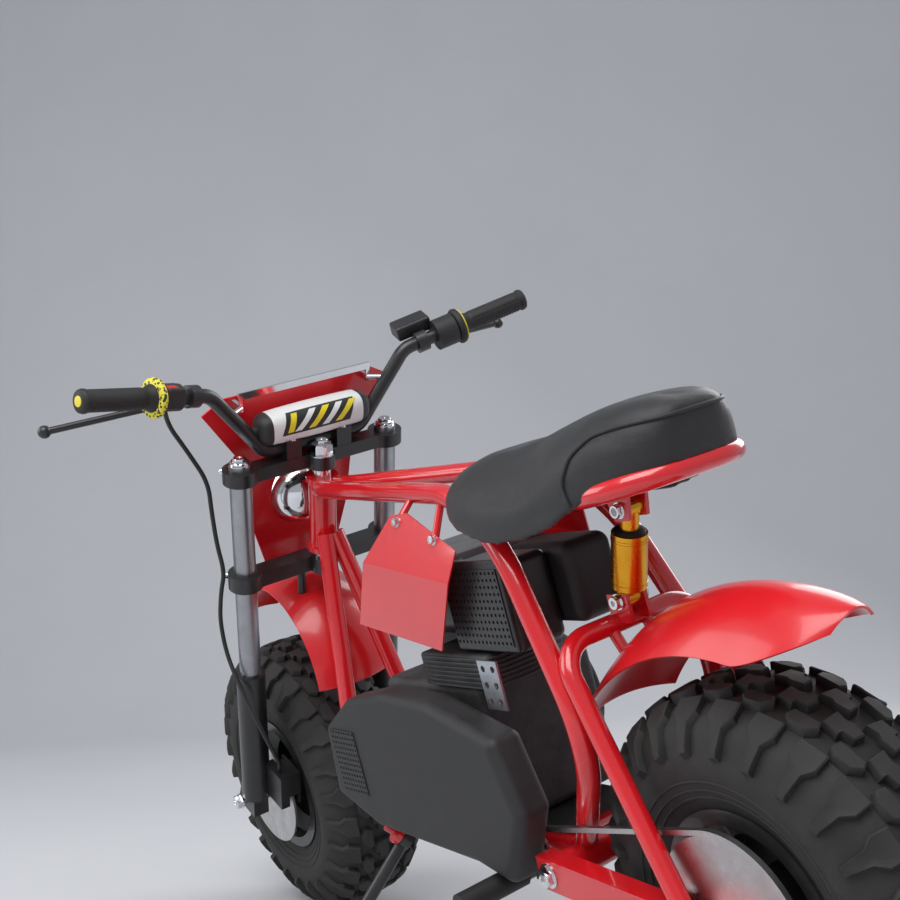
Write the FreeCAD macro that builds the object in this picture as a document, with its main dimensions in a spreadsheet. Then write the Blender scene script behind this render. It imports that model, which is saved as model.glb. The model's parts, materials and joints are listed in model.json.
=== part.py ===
# Off-road mini bike, leaning on its side stand.
# Everything is drawn for the upright bike (X forward, Y to the rider's left, Z up, origin on the ground
# halfway between the axles, millimetres), and leaned over as a whole at the end.
import FreeCAD, Part
import math
import os

import Sketcher

Vector = FreeCAD.Vector
Rotation = FreeCAD.Rotation
Placement = FreeCAD.Placement

X = Vector(1, 0, 0)
Y = Vector(0, 1, 0)
Z = Vector(0, 0, 1)

SIZES = dict(
    # stance
    wheelbase=1155, lean_angle=14,
    # tyres, rims and axles
    tyre_radius=241, tyre_width=178, tread_width=124, tread_drop=7, shoulder_drop=33, shoulder_width=156,
    widest_radius=165, bead_radius=104, rim_width=150, rim_wall=5, rim_well_radius=76, disc_web=6,
    flange_height=12, seat_width=22, well_slope=36,
    hub_radius=34, hub_width=192, axle_radius=8, bearing_gap=0.05, fit_gap=0.3, stub_radius=7, stub_length=14,
    disc_radius=95, disc_thick=4, pad_gap=6, chain_width=7, chain_height=6, rear_teeth_radius=98,
    drive_teeth_radius=21, drive_x=-250, drive_z=272,
    # steering head and fork
    rake=28, head_x=258, head_z=763, head_length=132, head_radius=22, head_bore=17, stem_radius=15,
    cup_radius=26, cup_height=9, fork_offset=21, fork_spacing=263, fork_cap_up=46, stanchion_radius=17.5,
    slider_radius=24, slider_top_down=339, axle_down=611, axle_forward=37, lug_radius=22,
    clamp_top_up=38, clamp_thick=22, low_clamp_up=-146, low_clamp_thick=26, clamp_wall=10, stem_wall=6, post_y=30, post_radius=7,
    nut_radius=15, nut_height=16,
    # handlebar
    bar_radius=11.1, bar_flat=85, bar_forward=26.5, bar_up=52, bar_corner_y=172, bar_corner_up=167,
    grip_end_y=377.5, grip_end_forward=-12.7, grip_end_up=223, grip_length=113, grip_radius=16,
    flange_radius=29, flange_width=12, crossbar_up=90, crossbar_radius=7, pad_radius=26.5, pad_length=196,
    riser_y=45, riser_width=26, riser_length=44, lever_tip_forward=78, lever_tip_y=403, lever_tip_up=147.5, perch_in=50,
    # front plate, lamp and bracket
    plate_forward=73, plate_thick=3, plate_top_y=128, plate_top_up=133, wing_y=165, wing_up=112,
    waist_y=103, waist_up=18, plate_foot_y=62, plate_foot_up=-196, lamp_up=-62, lamp_radius=52,
    lamp_forward=79, lamp_reach=30, lamp_rim=58, lamp_rim_depth=8, bracket_up=139.6, bracket_forward=42, bracket_y=117, bracket_width=11,
    bracket_thick=3,
    # frame tubes
    tube_radius=14, main_bend=200, main_head_y=12, main_knee_x=-297, main_knee_y=85, main_knee_z=715,
    main_low_x=-428, main_low_y=112, main_low_z=422, main_low_bend=110,
    main_foot_x=-300, main_foot_y=66, main_foot_z=262,
    down_head_back=22, down_head_y=9, down_head_drop=96, down_foot_x=276, down_foot_y=62,
    rail_z=262, cross_front_x=150, cross_rear_x=-230,
    hoop_start_x=-262, hoop_y=92, hoop_z=700, hoop_corner=70, hoop_end_x=-592, hoop_rise=9, hoop_radius=12,
    plate_front_x=210, plate_rear_x=-255, engine_plate_thick=6,
    # swingarm, shock
    pivot_x=-312, pivot_z=262, pivot_radius=9, pivot_boss=20, arm_height=40, arm_width=26, arm_y=121,
    arch_x=-405, arch_z=536, arch_y=104, fender_post_y=26, arch_bend=45, arch_radius=12, arch_foot_x=-535,
    shock_top_x=-462, shock_top_z=668, shock_foot_x=-420, shock_foot_z=562,
    shock_radius=21, shock_neck=11, shock_eye=11, shock_eye_width=20, bolt_radius=5, ear_thick=5,
    # fenders
    fender_wall=3, rear_crown=335, rear_edge=283, rear_half=78, rear_climb=0.75, rear_from=42, rear_to=119,
    rear_tail_from=103,
    front_centre_x=480, front_centre_z=450, front_crown=170, front_edge=150, front_half=68, front_from=30,
    front_to=190, front_nose_from=65,
    # seat
    seat_front_x=-245, seat_back_x=-590, seat_half=90, seat_nose_top=739, seat_foot_z=716,
    seat_hump_x=-470, seat_hump_top=782, seat_base_gap=0.5,
    # side plates
    panel_front_x=-24, panel_front_z=647, panel_rear_x=-227, panel_rear_z=615, panel_y=116, panel_top_y=94,
    panel_top_z=704, panel_shift=56, panel_drop=88, panel_thick=2,
    # brake hose
    hose_radius=3.5,
    # side stand
    stand_x=90, stand_y=106, stand_z=232, stand_foot_x=130, stand_foot_y=292, stand_radius=9,
    foot_radius=26, foot_thick=5,
    # foot pegs
    peg_x=-215, peg_reach=205, peg_radius=11, peg_grip=15, peg_grip_length=95,
)

doc = FreeCAD.newDocument("mini_bike")
sheet = doc.addObject("Spreadsheet::Sheet", "Size")
for row, (alias, value) in enumerate(SIZES.items(), start=1):
    sheet.set(f"A{row}", alias)
    sheet.set(f"B{row}", str(value))
    sheet.setAlias(f"B{row}", alias)
doc.recompute()


class Named:
    """Reads a size from the sheet by its name."""

    def __getattr__(self, alias):
        return float(getattr(sheet, alias))


s = Named()
PARTS = {}


def keep(label, item, place=Placement()):
    """Remember a finished sub-part and where it stands on the upright bike."""
    item.Label = label
    item.Placement = place
    PARTS[label] = (item, place)
    return item


def shape_of(label):
    """A sub-part's shape where it stands on the upright bike."""
    item, _ = PARTS[label]
    doc.recompute()
    return item.Shape


def feature(label, shape, yields=(), place=Placement(), biggest=False):
    """A sub-part from a ready shape, drawn in the frame of place and cut back where it meets older parts.
    With biggest, only the largest solid that the cuts leave is kept."""
    shape = shape.copy()
    shape.Placement = place.multiply(shape.Placement)
    for older in yields:
        shape = shape.cut(shape_of(older))
    if biggest:
        shape = max(shape.Solids, key=lambda solid: solid.Volume)
    item = doc.addObject("Part::Feature", label)
    item.Shape = shape
    item.Label = label
    PARTS[label] = (item, Placement())
    return item


# ---------------------------------------------------------------- shapes that many sub-parts use
def rounded_path(points, bend):
    """Straight runs joined by tangent arcs. bend is one radius, or a list with one for each inner point."""
    points = [Vector(*p) for p in points]
    bends = bend if isinstance(bend, (list, tuple)) else [bend] * (len(points) - 2)
    edges = []
    start = points[0]
    for before, corner, after, radius in zip(points, points[1:], points[2:], bends):
        into = (corner - before).normalize()
        out = (after - corner).normalize()
        turn = into.getAngle(out)
        reach = radius * math.tan(turn / 2)
        first = corner - into * reach
        last = corner + out * reach
        middle = corner + (out - into).normalize() * (radius / math.cos(turn / 2) - radius)
        if (first - start).Length > 0.01:
            edges.append(Part.LineSegment(start, first).toShape())
        edges.append(Part.Arc(first, middle, last).toShape())
        start = last
    if (points[-1] - start).Length > 0.01:
        edges.append(Part.LineSegment(start, points[-1]).toShape())
    return Part.Wire(edges)


def tube(points, radius, bend=0.0):
    """A round solid bar along a rounded path."""
    path = rounded_path(points, bend)
    start = path.OrderedEdges[0]
    tangent = start.tangentAt(start.FirstParameter)
    ring = Part.Wire(Part.makeCircle(radius, start.valueAt(start.FirstParameter), tangent))
    return path.makePipeShell([ring], True, False)


def soft_bends(points):
    """The radius at each inner point of a cord: 0.45 of its shorter run over the tangent of half the turn."""
    points = [Vector(*p) for p in points]
    radii = []
    for before, corner, after in zip(points, points[1:], points[2:]):
        into = corner - before
        out = after - corner
        radii.append(0.45 * min(into.Length, out.Length) / math.tan(into.getAngle(out) / 2))
    return radii


def cylinder(radius, start, end):
    """A round bar between two points."""
    start = Vector(*start)
    axis = Vector(*end) - start
    return Part.makeCylinder(radius, axis.Length, start, axis)


def block(x, y, z):
    """A box from three pairs of limits."""
    return Part.makeBox(x[1] - x[0], y[1] - y[0], z[1] - z[0], Vector(x[0], y[0], z[0]))


def slab(outline, thickness, direction):
    """A flat sheet: a closed outline of 3-D points, given a thickness along a direction."""
    points = [Vector(*p) for p in outline]
    face = Part.Face(Part.makePolygon(points + points[:1]))
    return face.extrude(Vector(*direction).normalize() * thickness)


def softened(shape, radius):
    """The same solid with every edge rounded."""
    return shape.makeFillet(radius, shape.Edges)


def mirrored(shape):
    """The same shape on the other side of the bike."""
    return shape.mirror(Vector(0, 0, 0), Y)


def joined(first, *others):
    """One solid from pieces that are welded together."""
    return first.multiFuse(list(others)).removeSplitter()


def ring_body(label, corners, place):
    """A PartDesign body: an outline of (radius, offset) formulas turned about the body's own Y axis."""
    body = doc.addObject("PartDesign::Body", label)
    plane = [f for f in body.Origin.OriginFeatures if f.Role == "XY_Plane"][0]
    axis = [f for f in body.Origin.OriginFeatures if f.Role == "Y_Axis"][0]
    sketch = body.newObject("Sketcher::SketchObject", label + "_outline")
    sketch.AttachmentSupport = (plane, "")
    sketch.MapMode = "FlatFace"
    spots = [Vector(sheet.evalExpression(r), sheet.evalExpression(y), 0) for r, y in corners]
    count = len(spots)
    for n in range(count):
        sketch.addGeometry(Part.LineSegment(spots[n], spots[(n + 1) % count]), False)
    for n in range(count):
        sketch.addConstraint(Sketcher.Constraint("Coincident", n, 2, (n + 1) % count, 1))
    for n, (r, y) in enumerate(corners):
        for kind, formula, value in (("DistanceX", r, spots[n].x), ("DistanceY", y, spots[n].y)):
            index = sketch.addConstraint(Sketcher.Constraint(kind, -1, 1, n, 1, value))
            sketch.setExpression(f"Constraints[{index}]", in_sheet(formula))
    turn = body.newObject("PartDesign::Revolution", label + "_turned")
    turn.Profile = sketch
    turn.ReferenceAxis = (axis, [""])
    turn.Angle = 360
    body.Tip = turn
    doc.recompute()
    return keep(label, body, place)


def in_sheet(formula):
    """A formula in bare names, written as the document's own expression."""
    for alias in sorted(SIZES, key=len, reverse=True):
        formula = formula.replace(alias, "\0" + str(list(SIZES).index(alias)) + "\1")
    for index, alias in enumerate(SIZES):
        formula = formula.replace("\0" + str(index) + "\1", "Size." + alias)
    return formula


# ---------------------------------------------------------------- frames of the steering and the axles
STEER = Placement(Vector(s.head_x, 0, s.head_z), Rotation(Y, -s.rake))
FRONT_AXLE = STEER.multVec(Vector(s.axle_forward, 0, -s.axle_down))
REAR_AXLE = Vector(-s.wheelbase / 2, 0, s.tyre_radius)


def on_steering(forward, left, up):
    """A point given from the top of the steering head, forward of, beside and up along the steering axis."""
    return STEER.multVec(Vector(forward, left, up))


# ---------------------------------------------------------------- wheels
def tyre(label, axle):
    """A closed ring with a flat crown, rounded shoulders and bulging side walls, seated in its rim."""
    half = [("tyre_radius", "0 * tread_width"),
            ("tyre_radius - tread_drop", "tread_width / 2"),
            ("tyre_radius - shoulder_drop", "shoulder_width / 2"),
            ("widest_radius", "tyre_width / 2"),
            ("bead_radius + flange_height + fit_gap", "rim_width / 2 - rim_wall - fit_gap"),
            ("bead_radius + fit_gap", "rim_width / 2 - rim_wall - fit_gap")]
    ring_body(label, half + across(half[1:]), Placement(axle, Rotation()))


def across(half):
    """The other half of an outline, mirrored and run the other way."""
    return [(radius, f"-1 * ({offset})") for radius, offset in reversed(half)]


def rim(label, axle):
    """A one-piece rim: flanges, bead seats, drop well, web and hub."""
    outside = [("bead_radius - rim_wall", "rim_width / 2"),
               ("bead_radius + flange_height", "rim_width / 2"),
               ("bead_radius + flange_height", "rim_width / 2 - rim_wall"),
               ("bead_radius", "rim_width / 2 - rim_wall"),
               ("bead_radius", "rim_width / 2 - seat_width"),
               ("rim_well_radius + rim_wall", "rim_width / 2 - well_slope")]
    inside = [("axle_radius + bearing_gap", "hub_width / 2"),
              ("hub_radius", "hub_width / 2"),
              ("hub_radius", "disc_web / 2"),
              ("rim_well_radius", "disc_web / 2"),
              ("rim_well_radius", "rim_width / 2 - well_slope"),
              ("bead_radius - rim_wall", "rim_width / 2 - seat_width")]
    ring_body(label, outside + across(outside) + across(inside) + inside, Placement(axle, Rotation()))


def flat_ring(label, outer, inner, thick, centre):
    """A brake disc or a sprocket: a plain flat ring about an axle."""
    ring = Part.makeCylinder(outer, thick, centre - Y * (thick / 2), Y)
    bore = Part.makeCylinder(inner, thick * 3, centre - Y * (thick * 1.5), Y)
    return feature(label, ring.cut(bore))


def wheels():
    """Both wheels, with the brake discs and the rear sprocket bolted to their hubs."""
    for end, axle in (("front", FRONT_AXLE), ("rear", REAR_AXLE)):
        rim(end + "_rim", axle)
        tyre(end + "_tyre", axle)
    disc_y = s.hub_width / 2 + 0.5 + s.disc_thick / 2
    bore = s.axle_radius + 4
    flat_ring("front_brake_disc", s.disc_radius, bore, s.disc_thick, FRONT_AXLE + Y * disc_y)
    flat_ring("rear_brake_disc", s.disc_radius, bore, s.disc_thick, REAR_AXLE - Y * disc_y)
    flat_ring("rear_sprocket", s.rear_teeth_radius, bore, s.disc_thick, REAR_AXLE + Y * disc_y)


# ---------------------------------------------------------------- fork and steering
def fork():
    """Clamps, stem, stanchions and sliders, drawn straight up along the steering axis."""
    y = s.fork_spacing / 2
    f = s.fork_offset
    low = -s.axle_down
    stanchion = cylinder(s.stanchion_radius, (f, y, -s.slider_top_down - 60), (f, y, s.fork_cap_up))
    on_both("stanchions", stanchion)
    slider = cylinder(s.slider_radius, (f, y, low + 16), (f, y, -s.slider_top_down))
    lug = block((f - 15, s.axle_forward + 16), (y - 14, y + 14), (low - 20, low + 30))
    eye = cylinder(s.axle_radius + s.bearing_gap, (s.axle_forward, y - 40, low), (s.axle_forward, y + 40, low))
    on_both("sliders", joined(slider, lug).cut(eye), ["stanchions"])
    w = s.riser_length / 2
    risers = [block((s.bar_forward - w, s.bar_forward + w),
                    (side * s.riser_y - s.riser_width / 2, side * s.riser_y + s.riser_width / 2),
                    (s.clamp_top_up - 2, s.bar_up + s.bar_radius + 6)) for side in (1, -1)]
    posts = [cylinder(s.post_radius, (f, side * s.post_y, s.low_clamp_up - s.low_clamp_thick - 60),
                      (f, side * s.post_y, s.low_clamp_up)) for side in (1, -1)]
    extras = {"top_clamp": risers, "lower_clamp": posts}
    for name, top, thick in (("top_clamp", s.clamp_top_up, s.clamp_thick),
                             ("lower_clamp", s.low_clamp_up, s.low_clamp_thick)):
        ring = s.stanchion_radius + s.clamp_wall
        middle = cylinder(s.stem_radius + s.stem_wall, (0, 0, top - thick), (0, 0, top))
        bridge = block((4, f + 12), (-y, y), (top - thick, top))
        rings = [cylinder(ring, (f, side * y, top - thick), (f, side * y, top)) for side in (1, -1)]
        plate = joined(middle, bridge, *rings, *extras[name])
        for side in (1, -1):
            plate = plate.cut(cylinder(s.stanchion_radius, (f, side * y, top - thick), (f, side * y, top)))
        plate = plate.cut(cylinder(s.stem_radius, (0, 0, top - thick), (0, 0, top)))
        feature(name, plate, ["handlebar", "front_fender"], STEER, biggest=True)
    stem = cylinder(s.stem_radius, (0, 0, s.low_clamp_up - s.low_clamp_thick), (0, 0, s.clamp_top_up + 2))
    nut = cylinder(s.nut_radius, (0, 0, s.clamp_top_up + 0.2), (0, 0, s.clamp_top_up + s.nut_height))
    feature("steering_stem", joined(stem, nut), ["top_clamp", "lower_clamp"], place=STEER)
    axle = cylinder(s.axle_radius, (s.axle_forward, -y - 24, -s.axle_down), (s.axle_forward, y + 24, -s.axle_down))
    for side in (1, -1):
        spacer = cylinder(s.axle_radius + 6, (s.axle_forward, side * (s.hub_width / 2 + 6), -s.axle_down),
                          (s.axle_forward, side * (y - 14.2), -s.axle_down))
        axle = joined(axle, spacer)
    feature("front_axle", axle, place=STEER)


def bar_points():
    """The left half of the handlebar's centre line, in the steering frame, from the middle out."""
    return [(s.bar_forward, 0, s.bar_up),
            (s.bar_forward, s.bar_flat, s.bar_up),
            (s.bar_forward, s.bar_corner_y, s.bar_corner_up),
            (s.grip_end_forward, s.grip_end_y, s.grip_end_up)]


def along_grip(distance):
    """A point on the left grip's centre line, that far in from its outer end."""
    outer = Vector(*bar_points()[3])
    inner = Vector(*bar_points()[2])
    return outer + (inner - outer).normalize() * distance


def on_both(label, shape, yields=()):
    """A pair of like pieces in one sub-part, drawn in the steering frame."""
    feature(label, shape.fuse(mirrored(shape)), yields, STEER)


def handlebar_bar():
    """The bent bar with its crossbar."""
    left = bar_points()
    right = [(f, -y, up) for f, y, up in reversed(left[1:])]
    bar = tube(right + left[1:], s.bar_radius, [38, 30, 30, 38])
    climb = (s.crossbar_up - s.bar_up) / (s.bar_corner_up - s.bar_up)
    cross_y = s.bar_flat + (s.bar_corner_y - s.bar_flat) * climb
    crossbar = cylinder(s.crossbar_radius, (s.bar_forward, -cross_y, s.crossbar_up), (s.bar_forward, cross_y, s.crossbar_up))
    feature("handlebar", joined(bar, crossbar), place=STEER)


def handlebar():
    """The pad on the crossbar, and the grips, flanges, levers and housings on both ends of the bar."""
    pad = cylinder(s.pad_radius, (s.bar_forward, -s.pad_length / 2, s.crossbar_up),
                   (s.bar_forward, s.pad_length / 2, s.crossbar_up))
    feature("bar_pad", pad, ["handlebar", "top_clamp"], STEER)
    outer = along_grip(0)
    direction = (along_grip(1) - outer).normalize()
    grip = Part.makeCylinder(s.grip_radius, s.grip_length + 4, outer - direction * 4, direction)
    on_both("grips", grip, ["handlebar"])
    start = outer + direction * (s.grip_length + 0.3)
    on_both("grip_flanges", Part.makeCylinder(s.flange_radius, s.flange_width, start, direction), ["handlebar"])
    start = start + direction * (s.flange_width + 0.5)
    switch = Part.makeCylinder(20, 34, start, direction)
    feature("switch_housing", switch, ["handlebar"], STEER)
    feature("throttle_housing", mirrored(Part.makeCylinder(25, 34, start, direction)), ["handlebar"], STEER)
    perch_at = start + direction * s.perch_in
    forward = Vector(0.80, -0.20, -0.56).normalize()
    perch = Part.makeCylinder(17, 18, perch_at, direction)
    pivot = perch_at + direction * 9 + forward * 26
    perch = perch.fuse(cylinder(9, perch_at + direction * 9, pivot))
    on_both("lever_perches", perch.removeSplitter(), ["handlebar"])
    tip = Vector(s.lever_tip_forward, s.lever_tip_y, s.lever_tip_up)
    knee = pivot - direction * 46 + forward * 30
    lever = tube([pivot + forward * 4, knee, tip], 5.2, 40)
    on_both("levers", lever.fuse(Part.makeSphere(9.5, tip)).removeSplitter(), ["lever_perches"])
    tank = softened(block((15, 50), (-30, 30), (4, 28)), 4)
    tank.Placement = Placement(perch_at + direction * 10, Rotation(Y, direction * -1))
    feature("brake_master_cylinder", mirrored(tank), ["handlebar", "lever_perches", "throttle_housing"], STEER)


def front_plate():
    """Number plate with its round opening, the lamp in it, and the flat bracket that holds it to the bar."""
    f = s.plate_forward
    half = [(f, s.plate_top_y, s.plate_top_up), (f, s.wing_y, s.wing_up), (f, s.waist_y, s.waist_up),
            (f, s.waist_y - 14, s.waist_up - 120), (f, s.plate_foot_y, s.plate_foot_up)]
    outline = half + [(f, -y, up) for f, y, up in reversed(half)]
    plate = slab(outline, s.plate_thick, (1, 0, 0))
    level = Rotation(Y, s.rake).multVec(X)
    centre = Vector(s.lamp_forward, 0, s.lamp_up)
    hole = Part.makeCylinder(s.lamp_radius + s.fit_gap, 200, centre - level * 100, level)
    feature("number_plate", plate.cut(hole), place=STEER)
    shell = Part.makeSphere(s.lamp_radius, centre).common(
        Part.makeCylinder(s.lamp_radius, s.lamp_radius, centre - level * s.lamp_radius, level))
    barrel = Part.makeCylinder(s.lamp_radius, s.lamp_reach, centre, level)
    rim_ring = Part.makeCylinder(s.lamp_rim, s.lamp_rim_depth, centre + level * s.lamp_reach, level)
    feature("headlamp", joined(shell, barrel, rim_ring), place=STEER)
    reach = s.bracket_forward
    bar = block((reach, reach + s.bracket_thick), (-s.bracket_y, s.bracket_y), (s.bracket_up, s.bracket_up + s.bracket_width))
    arms = [block((reach, f), (side * (s.bracket_y - 4) - 3, side * (s.bracket_y - 4) + 3),
                  (s.bracket_up - 20, s.bracket_up - 20 + s.bracket_width)) for side in (1, -1)]
    ends = [block((reach, reach + s.bracket_thick), (side * (s.bracket_y - 4) - 3, side * (s.bracket_y - 4) + 3),
                  (s.bracket_up - 20, s.bracket_up + 1)) for side in (1, -1)]
    height = s.bracket_up - 14
    climb = (height - s.bar_up) / (s.bar_corner_up - s.bar_up)
    on_bar = s.bar_flat + (s.bar_corner_y - s.bar_flat) * climb
    stays = [cylinder(4, (reach + 1.5, side * (s.bracket_y - 4), height), (s.bar_forward, side * on_bar, height))
             for side in (1, -1)]
    feature("plate_bracket", joined(bar, *arms, *ends, *stays), ["number_plate", "handlebar"], STEER)


def fender(label, centre, rows, yields=()):
    """A crowned sheet lofted through arcs round a centre: each row is (degrees up from ahead, crown, edge, half)."""
    wall = s.fender_wall
    rings = []
    for degrees, crown, edge, half in rows:
        turned = math.radians(degrees)
        out = Vector(math.cos(turned), 0, math.sin(turned))
        spots = [centre + out * radius + Y * side
                 for radius, side in ((edge, -half), (crown, 0), (edge, half),
                                      (edge - wall, half), (crown - wall, 0), (edge - wall, -half))]
        top = Part.Arc(*spots[:3]).toShape()
        under = Part.Arc(*spots[3:]).toShape()
        rings.append(Part.Wire([top, Part.makeLine(spots[2], spots[3]), under, Part.makeLine(spots[5], spots[0])]))
    return feature(label, Part.makeLoft(rings, True, True), yields)


def steps(first, last, count):
    """Evenly spaced angles, both ends included."""
    return [first + (last - first) * n / (count - 1) for n in range(count)]


def front_fender():
    """Over the front tyre, from a rounded nose back and down behind the fork."""
    rows = []
    for degrees in steps(s.front_from, s.front_to, 33):
        u = max(0, (s.front_nose_from - degrees) / (s.front_nose_from - s.front_from + 5))
        rows.append((degrees, s.front_crown + 24 * u ** 2, s.front_edge + 40 * u ** 2,
                     s.front_half * math.sqrt(1 - u ** 2)))
    fender("front_fender", Vector(s.front_centre_x, 0, s.front_centre_z), rows)


def rear_fender():
    """Over the rear tyre: its crown climbs away from the tyre towards a rounded tail."""
    rows = []
    for degrees in steps(s.rear_from, s.rear_to, 25):
        u = max(0, (degrees - s.rear_tail_from) / (s.rear_to + 1.5 - s.rear_tail_from))
        rows.append((degrees, s.rear_crown + s.rear_climb * (degrees - 90), s.rear_edge + 62 * u ** 1.5,
                     s.rear_half * math.sqrt(1 - u ** 2)))
    fender("rear_fender", REAR_AXLE, rows)


# ---------------------------------------------------------------- frame
def main_points(side):
    """The centre line of one main tube, from the steering head back, down and in to the pivot."""
    return [(s.head_x - 4, side * s.main_head_y, s.head_z - 22),
            (s.main_knee_x, side * s.main_knee_y, s.main_knee_z),
            (s.main_low_x, side * s.main_low_y, s.main_low_z),
            (s.main_foot_x, side * s.main_foot_y, s.main_foot_z)]


def panel_point(x, z):
    """Where the left side plate's upper panel is, at that length and height, on its outer face."""
    base = Vector(s.panel_front_x, s.panel_y, s.panel_front_z)
    along = Vector(s.panel_rear_x, s.panel_y, s.panel_rear_z) - base
    normal = along.cross(Vector(-80, s.panel_top_y - s.panel_y, s.panel_top_z - s.panel_front_z)).normalize()
    if normal.y < 0:
        normal = normal * -1
    return Vector(x, base.y - ((x - base.x) * normal.x + (z - base.z) * normal.z) / normal.y, z), normal


def tab_ends(x, z, side):
    """The two ends of a mounting tab, from inside the main tube down to the side plate's inner face."""
    share = (s.head_x - 4 - x) / (s.head_x - 4 - s.main_knee_x)
    on_tube = Vector(x, s.main_head_y + (s.main_knee_y - s.main_head_y) * share,
                     s.head_z - 22 + (s.main_knee_z - s.head_z + 22) * share)
    on_plate, normal = panel_point(x, z)
    on_plate = on_plate - normal * s.panel_thick
    return [Vector(p.x, side * p.y, p.z) for p in (on_tube, on_plate)]


def frame():
    """Head, twin main tubes, twin down tubes, lower rails and the hoop that carries the seat."""
    head = cylinder(s.head_radius, (0, 0, -s.head_length), (0, 0, 0))
    cups = [cylinder(s.cup_radius, (0, 0, -s.head_length), (0, 0, -s.head_length + s.cup_height)),
            cylinder(s.cup_radius, (0, 0, -s.cup_height), (0, 0, 0))]
    bore = cylinder(s.stem_radius + s.bearing_gap, (0, 0, -s.head_length - 5), (0, 0, 5))
    feature("steering_head", joined(head, *cups).cut(bore), place=STEER)
    boss = cylinder(s.pivot_boss, (s.pivot_x, -s.arm_y + s.arm_width / 2 + s.fit_gap, s.pivot_z),
                    (s.pivot_x, s.arm_y - s.arm_width / 2 - s.fit_gap, s.pivot_z))
    bolt = cylinder(s.pivot_radius, (s.pivot_x, -s.arm_y - 20, s.pivot_z), (s.pivot_x, s.arm_y + 20, s.pivot_z))
    crosses = [cylinder(s.tube_radius - 2, (x, -s.down_foot_y, s.rail_z), (x, s.down_foot_y, s.rail_z))
               for x in (s.cross_front_x, s.cross_rear_x)]
    feature("cross_members", boss.cut(bolt).multiFuse(crosses))
    column = cylinder(s.stem_radius + 1, on_steering(0, 0, -300), on_steering(0, 0, 60))
    for side, name in ((1, "left"), (-1, "right")):
        main = tube(main_points(side), s.tube_radius, [s.main_bend, s.main_low_bend])
        tab = joined(*[cylinder(5, *tab_ends(x, z, side)) for x, z in ((-110, 694), (-196, 668))])
        half_space = block((-800, 500), (0.05, 300) if side > 0 else (-300, -0.05), (0, 1000))
        feature("main_tube_" + name, main.fuse(tab).cut(column).cut(bolt).common(half_space), ["steering_head", "cross_members"])
        top = on_steering(-s.down_head_back, side * s.down_head_y, -s.down_head_drop)
        down = tube([top, (s.down_foot_x, side * s.down_foot_y, s.rail_z + 60), (s.down_foot_x - 50, side * s.down_foot_y, s.rail_z),
                     (s.main_foot_x + 18, side * s.main_foot_y, s.rail_z)], s.tube_radius, [60, 45])
        feature("down_tube_" + name, down.cut(column).common(half_space),
                ["steering_head", "main_tube_" + name, "cross_members"])
    hoop = tube([(s.hoop_start_x, 80, s.hoop_z + 8), (s.seat_front_x - 60, s.hoop_y, s.hoop_z), (s.hoop_end_x + 90, s.hoop_y, s.hoop_z),
                 (s.hoop_end_x, s.hoop_y, s.hoop_z + s.hoop_rise), (s.hoop_end_x, -s.hoop_y, s.hoop_z + s.hoop_rise),
                 (s.hoop_end_x + 90, -s.hoop_y, s.hoop_z), (s.seat_front_x - 60, -s.hoop_y, s.hoop_z), (s.hoop_start_x, -80, s.hoop_z + 8)],
                s.hoop_radius, [60, 20, s.hoop_corner, s.hoop_corner, 20, 60])
    feature("seat_hoop", hoop, ["main_tube_left", "main_tube_right"])
    carrier = cylinder(11, (s.shock_top_x, -s.hoop_y, s.hoop_z), (s.shock_top_x, s.hoop_y, s.hoop_z))
    width = s.shock_eye_width / 2
    ears = [slab([(s.shock_top_x - 22, side * (width + 1) - (s.ear_thick if side < 0 else 0), s.hoop_z - 4),
                  (s.shock_top_x + 22, side * (width + 1) - (s.ear_thick if side < 0 else 0), s.hoop_z - 4),
                  (s.shock_top_x + 12, side * (width + 1) - (s.ear_thick if side < 0 else 0), s.shock_top_z - 13),
                  (s.shock_top_x - 12, side * (width + 1) - (s.ear_thick if side < 0 else 0), s.shock_top_z - 13)],
                 s.ear_thick, (0, 1, 0)) for side in (1, -1)]
    bolt = cylinder(s.bolt_radius, (s.shock_top_x, -40, s.shock_top_z), (s.shock_top_x, 40, s.shock_top_z))
    feature("shock_carrier", joined(carrier, *ears).cut(bolt), ["seat_hoop"])
    floor = block((s.plate_rear_x, s.plate_front_x), (-s.down_foot_y, s.down_foot_y),
                  (s.rail_z + s.tube_radius + s.fit_gap, s.rail_z + s.tube_radius + s.fit_gap + s.engine_plate_thick))
    feature("engine_plate", floor, ["down_tube_left", "down_tube_right", "main_tube_left", "main_tube_right"])


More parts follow.
